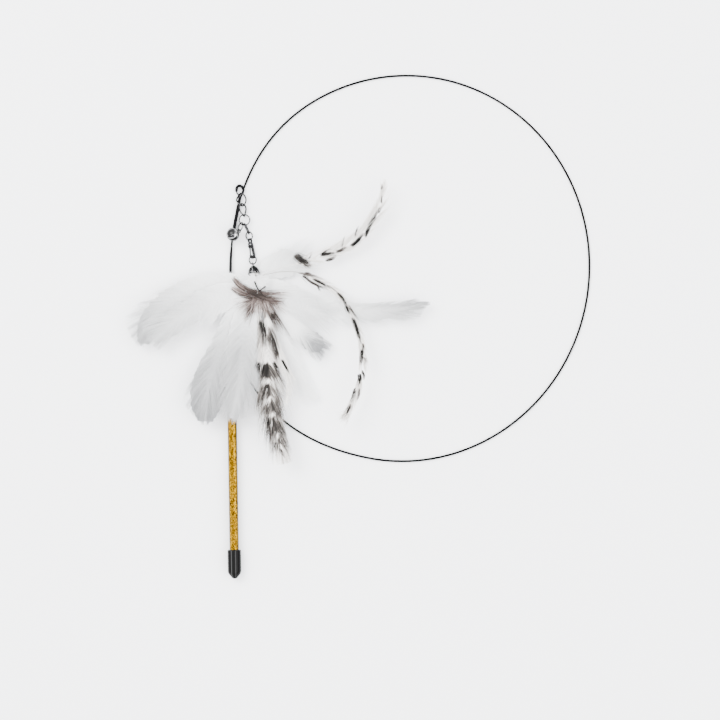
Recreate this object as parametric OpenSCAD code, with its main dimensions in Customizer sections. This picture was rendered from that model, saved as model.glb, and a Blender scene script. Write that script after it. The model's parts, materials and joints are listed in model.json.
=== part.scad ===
// Cat teaser wand: a gold foil handle with rubber caps, a springy steel wire
// bent round into a wide loop, and a short chain with a bell, a lobster clasp
// and a bundle of feathers.
// The wand lies on a table. +Z is up, the handle runs along +Y, and the origin
// is on the handle's axis at the lower end of its tube.

/* [Handle] */
// Length of the handle tube
tube_len = 148; // [110:1:200]
// Outer radius of the tube under its foil
tube_r = 3.35; // [3:0.05:4]
// Bore radius of the tube
tube_bore_r = 2.2; // [1.8:0.1:2.6]
// Thickness of the gold foil wrapped round the tube
foil_t = 0.15; // [0.1:0.05:0.4]

/* [Rubber caps] */
// Outer radius of both caps, which the handle lies on
cap_r = 5.1; // [4.6:0.1:6.5]
// Length of a cap's straight wall
cap_len = 17; // [10:0.5:26]
// Thickness of rubber across the tube's end
cap_floor_t = 1; // [0.5:0.1:2]
// Chamfer round a cap's open rim
cap_rim = 0.5; // [0.2:0.1:0.9]
// Length of the blunt nose on the butt cap
butt_nose_len = 4.8; // [2:0.1:9]
// Radius of the flat on the end of the butt nose
butt_nose_r = 1.5; // [0.8:0.1:2.5]
// Length of the nose that the wire comes out of
top_nose_len = 7; // [4:0.1:12]
// Radius of the end of the top nose
top_nose_r = 1.4; // [1:0.1:2.5]

/* [Spring wire] */
// Radius of the black coated steel wire
wire_r = 0.55; // [0.4:0.05:0.8]
// Length of the plug that grips the wire inside the tube
plug_len = 14; // [8:1:24]
// Length of the crimped stop behind the plug
stop_len = 5; // [3:0.5:8]
// Radius of the crimped stop
stop_r = 1.6; // [1:0.1:2]
// Straight length of wire in front of the nose
lead_len = 54; // [30:1:80]
// Length over which the wire comes down from the nose to the table
sink_len = 90; // [60:1:140]

/* [Wire loop] */
// Distance of the loop's centre from the handle's axis
loop_x = 131; // [120:1:145]
// Distance of the loop's centre beyond the tube's upper end
loop_rise = 77; // [67:1:92]
// Half width of the loop
loop_rx = 139; // [125:1:150]
// Half height of the loop
loop_ry = 145; // [130:1:155]
// Lean of the loop
loop_lean = -9; // [-15:1:0]
// Angle on the loop where the lead from the handle joins it
join_angle = 124; // [115:1:135]
// Angle on the loop where the far end leaves it
leave_angle = -93; // [-100:1:-85]
// Pull of the curve where the lead starts to bend
lead_pull = 14; // [8:1:30]
// Pull of the curve where the lead joins the loop
join_pull = 88; // [60:1:100]
// Pull of the curve where the far end leaves the loop
leave_pull = 68; // [50:1:80]
// Pull of the curve where the far end comes back to the axis
meet_pull = 54; // [35:1:65]
// Distance beyond the tube's upper end where the far end lies on the lead again
meet_rise = 47; // [42:1:57]

/* [Wire end] */
// Height of the far end above the lead where it enters the sleeve
stack_rise = 1.65; // [1.65:0.05:2.5]
// Distance between the far end and the lead where they lie side by side
stack_side = 1.3; // [1.3:0.05:1.8]
// Distance from the tube's upper end to the start of the sleeve
sleeve_rise = 100; // [87:1:107]
// Length of the shrunk sleeve over the doubled wire
sleeve_len = 27; // [18:1:32]
// Wall of the sleeve
sleeve_wall = 0.2; // [0.1:0.05:0.4]
// Gap between the two legs of wire in the sleeve
leg_gap = 0.06; // [0.04:0.01:0.2]
// Half width of the eye, to the middle of its wire
eye_rx = 2.65; // [2.4:0.05:3.5]
// Half height of the eye, to the middle of its wire
eye_ry = 3.75; // [3.4:0.05:5]
// Distance from the sleeve to the middle of the eye
eye_reach = 11; // [9:0.1:14]
// Offset of the eye to the left of the sleeve's line
eye_side = 0.95; // [0:0.05:1.5]
// Lean of the eye against the sleeve
eye_lean = 18; // [0:1:25]
// Wall of the sleeve shrunk onto the eye
eye_sleeve_wall = 0.5; // [0.2:0.05:0.6]

/* [Chain] */
// Running gap between two links at rest
link_gap = 0.2; // [0.1:0.05:0.3]
// Radius of the links' wire
link_wire_r = 0.6; // [0.45:0.05:0.75]
// Length inside a link, from one neighbour to the other
link_len = 8.2; // [7:0.1:10]
// Half width of the first link, to the middle of its wire
link_1_half_w = 3.5; // [3:0.1:4.5]
// Half width of the second link, to the middle of its wire
link_2_half_w = 2.6; // [2.4:0.1:4]
// Length inside the third link
link_3_len = 7; // [6:0.1:9]
// Half width of the third link, to the middle of its wire
link_3_half_w = 2.3; // [2:0.1:3]
// Radius of the jump rings' wire
ring_wire_r = 0.5; // [0.4:0.05:0.65]
// Length inside the ring that carries the bell
bell_ring_len = 6.7; // [6:0.1:8]
// Length inside the small ring that the bell hangs from
bell_hook_ring_len = 5.4; // [5:0.1:7]
// Length inside the ring that carries the clasp
clasp_ring_len = 4.8; // [4.2:0.1:6]
// Length inside the ring that carries the feathers
charm_ring_len = 4.9; // [4.2:0.1:6]

/* [Bell] */
// Outer radius of the bell
bell_r = 4.9; // [4.5:0.1:6]
// Thickness of the bell's sheet metal
bell_t = 0.4; // [0.3:0.05:0.6]
// Height of the rolled seam round the bell
seam_h = 0.7; // [0.4:0.1:1.2]
// How far the rolled seam stands out
seam_out = 0.2; // [0.1:0.05:0.4]
// Width of the sound slot
slot_w = 1; // [0.6:0.1:1.6]
// Radius of the holes at the ends of the slot
slot_hole_r = 1; // [0.8:0.1:1.4]
// Radius of the wire of the bell's ear
ear_wire_r = 0.4; // [0.3:0.05:0.5]
// Radius of the hole in the ear
ear_hole_r = 1; // [0.9:0.1:1.6]
// Height of the ear's hole above the bell
ear_rise = 1.5; // [1.5:0.1:3]
// Radius of the ball inside the bell
ball_r = 1.5; // [1:0.1:2]

/* [Lobster clasp] */
// Length from the clasp's eye to the bottom of its hook, inside
clasp_len = 13.4; // [12:0.1:15]
// Thickness of the clasp
clasp_t = 1.9; // [1.7:0.1:2.6]
// Radius of the hole in the clasp's eye
clasp_eye_r = 1.2; // [1:0.1:1.6]
// Width of metal round the clasp's eye
clasp_eye_w = 0.8; // [0.6:0.1:1.1]
// Thickness of the clasp's eye
clasp_eye_t = 1.2; // [0.9:0.1:1.6]
// Extra room between the hook and the ring it holds
hook_room = 0.3; // [0.05:0.05:0.4]
// Half width of the clasp at its hook
clasp_half_w = 2.4; // [2.2:0.1:3]
// Radius of the clasp's shoulder
shoulder_r = 1.9; // [1.7:0.1:2.3]
// Half width of the window inside the hook
window_r = 1.3; // [1.1:0.1:1.6]
// Radius of the lever's pin
pin_r = 0.4; // [0.3:0.05:0.5]
// Running gap of the pin in the lever
pin_gap = 0.04; // [0.02:0.01:0.08]
// Thickness of the lever
lever_t = 0.6; // [0.5:0.1:0.8]
// Gap on each side of the lever
lever_gap = 0.12; // [0.08:0.02:0.2]
// Thickness of the coil spring beside the lever
clasp_spring_t = 0.3; // [0.2:0.05:0.4]
// Height of the thumb tab on the lever
tab_h = 1.3; // [0.8:0.1:2]

/* [Feather cap] */
// Radius of the loop on the cap, to the middle of its wire
loop_ring_r = 1.5; // [1.4:0.1:2]
// Length of the metal cap
end_cap_len = 6.4; // [5:0.1:9]
// Radius of the cap at its mouth
end_cap_r = 4.4; // [4:0.1:5.5]
// Radius of the cap at its crown
end_cap_crown_r = 1.6; // [1.2:0.1:2.2]
// Wall of the cap
end_cap_wall = 0.4; // [0.3:0.05:0.6]
// Depth of the glue inside the cap's mouth
glue_depth = 2; // [1:0.1:3]

/* [White plumes] */
// Length of the upper left plume
left_upper_len = 93; // [60:1:130]
// Width of the upper left plume
left_upper_w = 34; // [15:1:45]
// Length of the lower left plume
left_lower_len = 90; // [60:1:130]
// Width of the lower left plume
left_lower_w = 30; // [15:1:45]
// Length of the plume that crosses the handle
handle_plume_len = 108; // [70:1:130]
// Width of the plume that crosses the handle
handle_plume_w = 30; // [15:1:40]
// Length of the middle plume
middle_plume_len = 95; // [60:1:125]
// Width of the middle plume
middle_plume_w = 26; // [12:1:36]
// Length of the faint plume under the barred pair
under_plume_len = 95; // [60:1:120]
// Width of the faint plume under the barred pair
under_plume_w = 16; // [8:1:30]
// Length of the short right plume
short_right_len = 71; // [45:1:100]
// Width of the short right plume
short_right_w = 15; // [8:1:26]
// Length of the folded right plume
fold_right_len = 58; // [40:1:90]
// Width of the folded right plume
fold_right_w = 20; // [8:1:30]
// Length of the long right plume
long_right_len = 131; // [90:1:160]
// Width of the long right plume
long_right_w = 18; // [8:1:28]
// Length of the small upper plume
upper_plume_len = 33; // [20:1:60]
// Width of the small upper plume
upper_plume_w = 26; // [10:1:34]

/* [Barred feathers] */
// Length of the left feather of the barred pair
barred_left_len = 132; // [90:1:160]
// Width of the left feather of the barred pair
barred_left_w = 13; // [6:1:20]
// Length of the right feather of the barred pair
barred_right_len = 112; // [80:1:150]
// Width of the right feather of the barred pair
barred_right_w = 11; // [6:1:20]
// Length of the barred feather that curls up
curl_up_len = 127; // [90:1:160]
// Width of the barred feather that curls up
curl_up_w = 9; // [5:0.5:14]
// Length of the barred feather that curls down
curl_down_len = 160; // [110:1:190]
// Width of the barred feather that curls down
curl_down_w = 7; // [4:0.5:12]

/* [Feather bodies] */
// Thickness of a feather's body
feather_t = 0.7; // [0.5:0.1:1]
// Width of a bare quill
quill_w = 0.8; // [0.6:0.1:1.2]
// Length of the brown down tuft over the cap's mouth
tuft_len = 21; // [10:1:28]
// Width of the brown down tuft
tuft_w = 38; // [20:1:50]
// Thickness of the brown down tuft
tuft_t = 3; // [2:0.1:5]

/* [Hidden] */
$fn = 48;

black = [0.05, 0.05, 0.055];
silver = [0.78, 0.78, 0.8];
gold = [0.86, 0.62, 0.1];
plume_white = [0.93, 0.94, 0.94];
barred_grey = [0.45, 0.42, 0.4];
down_brown = [0.55, 0.46, 0.41];

// Sizes that seat the handle's pieces on each other
grip_r = tube_r + foil_t;
overrun = wire_r;
fit_gap = 0.03;
top_wall_end = tube_len + cap_floor_t;
nose_end = top_wall_end + top_nose_len;
loop_y = tube_len + loop_rise;
meet_y = tube_len + meet_rise;
sleeve_y = tube_len + sleeve_rise;
plug_start = tube_len - plug_len;
wire_start = plug_start - stop_len;
table_z = -cap_r;

// Turns a module that is drawn along +Z so that it runs along +Y
module along_y() {
    rotate([-90, 0, 0]) children();
}

// A straight tube round the Z axis
module tube(r, bore_r, h) {
    difference() {
        cylinder(r = r, h = h);
        translate([0, 0, -overrun]) cylinder(r = bore_r, h = h + 2 * overrun);
    }
}

module handle_tube() {
    color([0.92, 0.9, 0.82]) along_y() tube(tube_r, tube_bore_r, tube_len);
}

module foil_wrap() {
    color(gold) along_y() tube(grip_r, tube_r, tube_len);
}

// A push-on cap, revolved: rim, straight wall, shoulder and blunt nose
module push_cap(nose_len, nose_r) {
    rotate_extrude() polygon([
        [grip_r, 0], [cap_r - cap_rim, 0], [cap_r, cap_rim], [cap_r, cap_len],
        [nose_r + cap_rim, cap_len + nose_len - cap_rim], [nose_r, cap_len + nose_len],
        [0, cap_len + nose_len], [0, cap_len - cap_floor_t], [grip_r, cap_len - cap_floor_t]]);
}

module butt_cap() {
    color(black) translate([0, cap_len - cap_floor_t, 0]) rotate([90, 0, 0])
        push_cap(butt_nose_len, butt_nose_r);
}

module top_cap() {
    color(black) translate([0, top_wall_end - cap_len, 0]) along_y() difference() {
        push_cap(top_nose_len, top_nose_r);
        cylinder(r = wire_r + fit_gap, h = cap_len + top_nose_len + overrun);
    }
}

module wire_plug() {
    color("dimgray") translate([0, plug_start, 0]) along_y()
        tube(tube_bore_r, wire_r + fit_gap, plug_len);
}

module wire_stop() {
    color(silver) translate([0, wire_start, 0]) along_y()
        tube(stop_r, wire_r + fit_gap, stop_len);
}

// A point on a cubic curve with the four control points p
function on_curve(p, t) =
    pow(1 - t, 3) * p[0] + 3 * pow(1 - t, 2) * t * p[1] + 3 * (1 - t) * t * t * p[2] + t * t * t * p[3];

// A smooth step from 0 to 1
function ease(t) = t <= 0 ? 0 : t >= 1 ? 1 : t * t * (3 - 2 * t);

// The loop is an ellipse that leans; the wire runs round it clockwise
function loop_point(a) = [
    loop_x + loop_rx * cos(a) * cos(loop_lean) - loop_ry * sin(a) * sin(loop_lean),
    loop_y + loop_rx * cos(a) * sin(loop_lean) + loop_ry * sin(a) * cos(loop_lean)];
function loop_ahead(a) =
    let (d = [loop_rx * sin(a) * cos(loop_lean) + loop_ry * cos(a) * sin(loop_lean),
              loop_rx * sin(a) * sin(loop_lean) - loop_ry * cos(a) * cos(loop_lean)])
    d / norm(d);

// The lead: straight out of the nose, then a curve that joins the loop
lead_end_y = nose_end + lead_len;
lead_steps = 4;
curve_steps = 26;
lead_curve = [[0, lead_end_y], [0, lead_end_y + lead_pull],
    loop_point(join_angle) - join_pull * loop_ahead(join_angle), loop_point(join_angle)];
lead_plan = concat(
    [for (i = [0 : lead_steps - 1]) [0, nose_end + lead_len * i / lead_steps]],
    [for (i = [0 : curve_steps - 1]) on_curve(lead_curve, i / curve_steps)]);
round_steps = 56;
round_plan = [for (i = [0 : round_steps - 1])
    loop_point(join_angle + (leave_angle - join_angle) * i / round_steps)];
out_plan = concat(lead_plan, round_plan);

// Running length along a plan, and the height of the wire: it comes down from
// the handle's axis to the table and lies on it
function running_length(p) = [for (i = 0, s = 0; i < len(p);
    s = s + (i + 1 < len(p) ? norm(p[i + 1] - p[i]) : 0), i = i + 1) s];
wire_table_z = table_z + wire_r;
function lead_z(s) = wire_table_z * ease(s / sink_len);
out_length = running_length(out_plan);
out_route = [for (i = [0 : len(out_plan) - 1]) [out_plan[i][0], out_plan[i][1], lead_z(out_length[i])]];

// Place of the lead at a given distance along the handle's axis
lead_x_rows = [for (i = [0 : len(lead_plan) - 1]) [lead_plan[i][1], lead_plan[i][0]]];
lead_z_rows = [for (i = [0 : len(lead_plan) - 1]) [lead_plan[i][1], out_route[i][2]]];
function on_lead(y) = [lookup(y, lead_x_rows), y, lookup(y, lead_z_rows)];

// The far end: off the loop, back beside the lead, then on top of it where
// the sleeve starts
meet = on_lead(meet_y) + [stack_side, 0, 0];
back_curve = [loop_point(leave_angle), loop_point(leave_angle) + leave_pull * loop_ahead(leave_angle),
    [stack_side, meet_y - meet_pull], [stack_side, meet_y]];
back_steps = 20;
function back_z(t) = wire_table_z + (meet[2] - wire_table_z) * ease(t);
back_route = [for (i = [0 : back_steps - 1]) let (p = on_curve(back_curve, i / back_steps))
    [p[0], p[1], back_z(i / back_steps)]];
stack_steps = 8;
leg_half = wire_r + leg_gap / 2;
sleeve_lead_in = 4 * wire_r;
stack_route = [for (i = [0 : stack_steps]) let (k = ease(i / stack_steps))
    on_lead(meet_y + (sleeve_y - sleeve_lead_in - meet_y) * i / stack_steps)
        + [stack_side + (leg_half - stack_side) * k, 0, stack_rise * k]];

// The sleeve lies along the chord of the lead below it
sleeve_low = on_lead(sleeve_y) + [0, 0, stack_rise];
sleeve_drift = on_lead(sleeve_y + sleeve_len)[0] - sleeve_low[0];
sleeve_high_y = sleeve_y + sleeve_len * cos(atan2(sleeve_drift, sleeve_len));
sleeve_turn = atan2(on_lead(sleeve_high_y)[0] - sleeve_low[0], sleeve_high_y - sleeve_y);
sleeve_ahead = [sin(sleeve_turn), cos(sleeve_turn), 0];
sleeve_right = [cos(sleeve_turn), -sin(sleeve_turn), 0];
function from_sleeve(u, v) = sleeve_low + u * sleeve_ahead + v * sleeve_right;

// The eye: up one leg, round an oval and back down the other leg
eye_mid_u = sleeve_len + eye_reach;
eye_mid = from_sleeve(eye_mid_u, -eye_side);
function eye_point(a) = let (x = eye_rx * cos(a), y = eye_ry * sin(a))
    from_sleeve(eye_mid_u + x * sin(eye_lean) + y * cos(eye_lean),
        -eye_side + x * cos(eye_lean) - y * sin(eye_lean));
eye_open = 62;
eye_steps = 18;
neck_u = eye_mid_u - eye_ry - 2 * wire_r;
neck_steps = 4;
function neck(side) =
    let (end_a = side > 0 ? -eye_open : 180 + eye_open,
         tip = eye_point(end_a),
         chord = eye_point(end_a - side) - eye_point(end_a + side),
         way = chord / norm(chord))
    [for (i = [0 : neck_steps - 1]) on_curve([from_sleeve(neck_u, side * leg_half),
        from_sleeve(neck_u + wire_r, side * leg_half), tip + wire_r * way, tip], i / neck_steps)];
function backwards(p) = [for (i = [len(p) - 1 : -1 : 0]) p[i]];
leg_end_u = 4 * wire_r;
eye_arc = [for (i = [0 : eye_steps]) eye_point(-eye_open + (180 + 2 * eye_open) * i / eye_steps)];
eye_route = concat([from_sleeve(0, leg_half)], neck(1), eye_arc,
    backwards(neck(-1)), [from_sleeve(leg_end_u, -leg_half)]);

wire_route = concat([[0, wire_start, 0], [0, plug_start, 0], [0, tube_len, 0]],
    out_route, back_route, stack_route, eye_route);

// Directions along a route, and a tube of n sides swept along it
function ahead(p, i, closed) =
    let (n = len(p),
         a = closed ? p[(i + n - 1) % n] : p[max(i - 1, 0)],
         b = closed ? p[(i + 1) % n] : p[min(i + 1, n - 1)])
    (b - a) / norm(b - a);
function ring_at(p, t, out, r, sides) =
    let (u = cross(t, out) / norm(cross(t, out)), v = cross(u, t))
    [for (k = [0 : sides - 1]) p + r * (v * cos(360 * k / sides) + u * sin(360 * k / sides))];
function skin_faces(n, sides, closed) =
    [for (i = [0 : n - (closed ? 1 : 2)], k = [0 : sides - 1], half = [0, 1])
    let (a = i * sides + k, b = i * sides + (k + 1) % sides,
         c = ((i + 1) % n) * sides + k, d = ((i + 1) % n) * sides + (k + 1) % sides)
    half == 0 ? [a, d, b] : [a, c, d]];
function end_faces(n, sides) = concat(
    [for (k = [1 : sides - 2]) [0, k, k + 1]],
    [for (k = [1 : sides - 2]) [(n - 1) * sides, (n - 1) * sides + k + 1, (n - 1) * sides + k]]);

// An open tube along a route that lies nearly level
module level_tube(route, r, sides) {
    count = len(route);
    rings = [for (i = [0 : count - 1]) each ring_at(route[i], ahead(route, i, false), [0, 0, 1], r, sides)];
    polyhedron(points = rings, faces = concat(skin_faces(count, sides, false), end_faces(count, sides)));
}

// A hollow sleeve along a route that lies nearly level
module level_sleeve(route, r, bore_r, sides) {
    count = len(route);
    out = [for (i = [0 : count - 1]) each ring_at(route[i], ahead(route, i, false), [0, 0, 1], r, sides)];
    bore = [for (i = [0 : count - 1]) each ring_at(route[i], ahead(route, i, false), [0, 0, 1], bore_r, sides)];
    inner = count * sides;
    last = (count - 1) * sides;
    flipped = [for (f = skin_faces(count, sides, false)) [f[0] + inner, f[2] + inner, f[1] + inner]];
    rims = [for (k = [0 : sides - 1], half = [0, 1]) let (n = (k + 1) % sides)
        half == 0 ? [k, n, inner + n] : [k, inner + n, inner + k]];
    far_rims = [for (k = [0 : sides - 1], half = [0, 1]) let (n = (k + 1) % sides)
        half == 0 ? [last + k, inner + last + n, last + n] : [last + k, inner + last + k, inner + last + n]];
    polyhedron(points = concat(out, bore),
        faces = concat(skin_faces(count, sides, false), flipped, rims, far_rims));
}

// A closed ring of wire whose route runs round the origin
module closed_tube(route, r, sides) {
    count = len(route);
    rings = [for (i = [0 : count - 1]) each ring_at(route[i], ahead(route, i, true), route[i], r, sides)];
    polyhedron(points = rings, faces = skin_faces(count, sides, true));
}

wire_sides = 8;
module spring_wire() {
    color(black) level_tube(wire_route, wire_r, wire_sides);
}

// A flat-sided oval section: two round ends and a middle
module oval_section(half, r) {
    square([2 * half, 2 * r], center = true);
    for (side = [-1, 1]) translate([side * half, 0]) circle(r = r);
}

module tip_sleeve() {
    color(black) translate(sleeve_low) rotate([0, 0, -sleeve_turn]) along_y() difference() {
        linear_extrude(sleeve_len) oval_section(leg_half, wire_r + sleeve_wall);
        translate([0, 0, -overrun]) linear_extrude(sleeve_len + 2 * overrun)
            oval_section(leg_half, wire_r + fit_gap);
    }
}

// The sleeve on the eye leaves its foot bare for the first link
bare_steps = 3;
module eye_sleeve() {
    arc = [for (i = [bare_steps : eye_steps - bare_steps]) eye_arc[i]];
    color(black) level_sleeve(arc, wire_r + eye_sleeve_wall, wire_r + 2 * fit_gap, wire_sides);
}

// The chain: each piece starts where it touches the one before and runs along
// its own -Y. Turn swings it round Z, pitch lifts its end and roll spins it.
function spin_x(p, a) = [p[0], p[1] * cos(a) - p[2] * sin(a), p[1] * sin(a) + p[2] * cos(a)];
function spin_y(p, a) = [p[0] * cos(a) + p[2] * sin(a), p[1], p[2] * cos(a) - p[0] * sin(a)];
function spin_z(p, a) = [p[0] * cos(a) - p[1] * sin(a), p[0] * sin(a) + p[1] * cos(a), p[2]];
function placed(at, way, p) = at + spin_z(spin_x(spin_y(p, way[2]), -way[1]), way[0]);
function next_touch(at, way, length) = placed(at, way, [0, -length, 0]);
module hang(at, way) {
    translate(at) rotate([0, 0, way[0]]) rotate([-way[1], 0, 0]) rotate([0, way[2], 0]) children();
}

// Turn, pitch and roll in degrees of each piece as the chain lies
link_1_way = [5.6, 13, 0];
link_2_way = [11.2, -5, 28];
bell_ring_way = [3.4, -2, 10];
link_3_way = [23.5, 0, 80];
clasp_ring_way = [8.2, 0, -35];
clasp_way = [8.7, 0, 48];
charm_ring_way = [0, 1, -28];
end_cap_way = [6.4, 16, 0];
// How far the two ends of a link are turned against each other
twist = -112;
// Where the cut of a jump ring sits, round from its +X side
bell_ring_cut = 20;
clasp_ring_cut = 0;
charm_ring_cut = 180;
hook_ring_cut = 0;

// Height over the eye's foot at which the first link rides where the legs part
eye_foot_room = 0.9;
eye_touch = eye_point(-90) + eye_foot_room * sleeve_ahead;
touch_1 = next_touch(eye_touch, link_1_way, link_len);
touch_2 = next_touch(touch_1, link_2_way, link_len);
touch_3 = next_touch(touch_2, bell_ring_way, bell_ring_len);
touch_4 = next_touch(touch_3, link_3_way, link_3_len);
touch_5 = next_touch(touch_4, clasp_ring_way, clasp_ring_len);
touch_6 = next_touch(touch_5, clasp_way, clasp_len);
touch_7 = next_touch(touch_6, charm_ring_way, charm_ring_len);

// A link bent from wire: an oval whose ends are turned against each other
link_steps = 28;
link_squareness = 0.8;
link_sides = 8;
module wire_link(length, half_w, turn) {
    half_len = (length + link_gap) / 2 + link_wire_r;
    route = [for (i = [0 : link_steps - 1])
        let (a = 360 * i / link_steps, y = half_len * cos(a))
        spin_y([half_w * sign(sin(a)) * pow(abs(sin(a)), link_squareness), y, 0], turn / 2 * y / half_len)];
    color(silver) translate([0, -length / 2, 0]) closed_tube(route, link_wire_r, link_sides);
}

// A jump ring of round wire with its cut turned away from its neighbours
cut_angle = 6;
module jump_ring(length, cut_at) {
    color(silver) translate([0, -length / 2, 0]) rotate([0, 0, cut_at + cut_angle / 2])
        rotate_extrude(angle = 360 - cut_angle)
            translate([(length + link_gap) / 2 + ring_wire_r, 0]) circle(r = ring_wire_r, $fn = 24);
}

module link_1() {
    hang(eye_touch, link_1_way) wire_link(link_len, link_1_half_w, twist);
}

module link_2() {
    hang(touch_1, link_2_way) wire_link(link_len, link_2_half_w, twist);
}

module bell_carrier_ring() {
    hang(touch_2, bell_ring_way) jump_ring(bell_ring_len, bell_ring_cut);
}

module link_3() {
    hang(touch_3, link_3_way) wire_link(link_3_len, link_3_half_w, 0);
}

module clasp_ring() {
    hang(touch_4, clasp_ring_way) jump_ring(clasp_ring_len, clasp_ring_cut);
}

module charm_ring() {
    hang(touch_6, charm_ring_way) jump_ring(charm_ring_len, charm_ring_cut);
}

// A second ring hangs from the lower left of the bell's carrier ring, and the
// bell hangs from it by its ear
hook_ring_angle = 42;
hook_ring_way = [-18, 4, -60];
bell_way = [-59, 38, 20];
carrier_ring_r = (bell_ring_len + link_gap) / 2 + ring_wire_r;
carrier_wire = placed(touch_2, bell_ring_way,
    [-carrier_ring_r * sin(hook_ring_angle),
     -bell_ring_len / 2 - carrier_ring_r * cos(hook_ring_angle), 0]);
hook_ring_touch = next_touch(carrier_wire, hook_ring_way, -ring_wire_r - link_gap / 2);
bell_wire = next_touch(hook_ring_touch, hook_ring_way, bell_hook_ring_len + link_gap / 2 + ring_wire_r);
bell_touch = next_touch(bell_wire, bell_way, -ring_wire_r - link_gap / 2);
module bell_hook_ring() {
    hang(hook_ring_touch, hook_ring_way) jump_ring(bell_hook_ring_len, hook_ring_cut);
}

bell_reach = bell_r + ear_rise + ear_hole_r;
bell_mid = next_touch(bell_touch, bell_way, bell_reach);

// Half of the bell's hollow shell, with its side of the rolled seam
module half_shell() {
    rotate_extrude() difference() {
        union() {
            intersection() {
                circle(r = bell_r, $fn = 64);
                square([bell_r, bell_r]);
            }
            square([bell_r + seam_out, seam_h / 2]);
        }
        circle(r = bell_r - bell_t, $fn = 64);
    }
}

module bell_frame() {
    hang(bell_touch, bell_way) translate([0, -bell_reach, 0]) children();
}

module bell_top() {
    color(silver) bell_frame() along_y() half_shell();
}

// The sound slot runs under the bell from one round hole to the other
slot_half_angle = 50;
module bell_bottom() {
    slot_half = bell_r * sin(slot_half_angle);
    color(silver) bell_frame() rotate([90, 0, 0]) difference() {
        half_shell();
        translate([-slot_w / 2, -slot_half, bell_r * cos(slot_half_angle)])
            cube([slot_w, 2 * slot_half, bell_r]);
        for (side = [-1, 1]) rotate([side * slot_half_angle, 0, 0])
            cylinder(r = slot_hole_r, h = bell_r + overrun);
    }
}

// The ear is a loop of wire soldered to the crown
module bell_ear() {
    foot = bell_r + link_gap / 4;
    height = bell_reach + link_gap / 2 + ear_wire_r - foot;
    half = ear_hole_r + ear_wire_r;
    color(silver) bell_frame() {
        translate([0, foot + height - half, 0]) rotate_extrude(angle = 180)
            translate([half, 0]) circle(r = ear_wire_r, $fn = 24);
        for (side = [-1, 1]) translate([side * half, foot, 0]) along_y()
            cylinder(r = ear_wire_r, h = height - half, $fn = 24);
        translate([0, foot, 0]) along_y() cylinder(r = half + ear_wire_r / 2, h = ear_wire_r, $fn = 32);
    }
}

ball_mid = bell_mid - [0, 0, bell_r - bell_t - ball_r - link_gap];
module bell_ball() {
    color("dimgray") translate(ball_mid) sphere(r = ball_r, $fn = 32);
}

// The lobster clasp, drawn flat: an eye, a shoulder and a hook round a window
hook_y = -clasp_len - link_gap / 2 - hook_room + window_r;
eye_y = link_gap / 2 - clasp_eye_r;
shoulder_y = eye_y - clasp_eye_r - clasp_eye_w - shoulder_r / 2;
window_top_y = shoulder_y - shoulder_r;
gate_half_share = 0.6;
gate_top_share = 0.9;
gate_low_share = 0.5;
lever_root_share = 0.8;
gate_half = window_r * gate_half_share;
pin_x = -shoulder_r / 2;
pin_y = shoulder_y;
slot_t = lever_t + clasp_spring_t + 3 * lever_gap;
lever_low = -slot_t / 2 + lever_gap;

// The outline between two circles on the Y axis: both circles and the tangents
module tapered_outline(y1, r1, y2, r2) {
    lean = asin((r2 - r1) / (y1 - y2));
    translate([0, y1]) circle(r = r1);
    translate([0, y2]) circle(r = r2);
    polygon([[r1 * cos(lean), y1 + r1 * sin(lean)], [-r1 * cos(lean), y1 + r1 * sin(lean)],
        [-r2 * cos(lean), y2 + r2 * sin(lean)], [r2 * cos(lean), y2 + r2 * sin(lean)]]);
}

module clasp_outline() {
    difference() {
        tapered_outline(shoulder_y, shoulder_r, hook_y, clasp_half_w);
        tapered_outline(window_top_y - gate_half, gate_half, hook_y, window_r);
    }
}

module clasp_eye_outline() {
    difference() {
        union() {
            translate([0, eye_y]) circle(r = clasp_eye_r + clasp_eye_w);
            translate([-clasp_eye_w, shoulder_y])
                square([2 * clasp_eye_w, eye_y - clasp_eye_r - shoulder_y]);
        }
        translate([0, eye_y]) circle(r = clasp_eye_r);
    }
}

gate_top_y = shoulder_y - shoulder_r * gate_top_share;
gate_low_y = hook_y + window_r * gate_low_share;
module clasp_body() {
    slot_len = pin_y + shoulder_r - gate_low_y - clasp_eye_w;
    color(silver) hang(touch_5, clasp_way) difference() {
        union() {
            translate([0, 0, -clasp_t / 2]) linear_extrude(clasp_t) clasp_outline();
            translate([0, 0, -clasp_eye_t / 2]) linear_extrude(clasp_eye_t) clasp_eye_outline();
        }
        translate([-2 * clasp_half_w, gate_low_y, -clasp_t])
            cube([2 * clasp_half_w, gate_top_y - gate_low_y, 2 * clasp_t]);
        translate([-2 * clasp_half_w, gate_low_y, -slot_t / 2])
            cube([2 * clasp_half_w + shoulder_r / 2, slot_len, slot_t]);
        translate([pin_x, pin_y, -clasp_t]) cylinder(r = pin_r, h = 2 * clasp_t);
    }
}

module clasp_pin() {
    color(silver) hang(touch_5, clasp_way) translate([pin_x, pin_y, -clasp_t / 2])
        cylinder(r = pin_r, h = clasp_t);
}

module clasp_spring() {
    spring_low = slot_t / 2 - lever_gap - clasp_spring_t;
    color("dimgray") hang(touch_5, clasp_way) translate([pin_x, pin_y, spring_low])
        tube(pin_r + pin_gap + clasp_spring_t, pin_r + pin_gap, clasp_spring_t);
}

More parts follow.
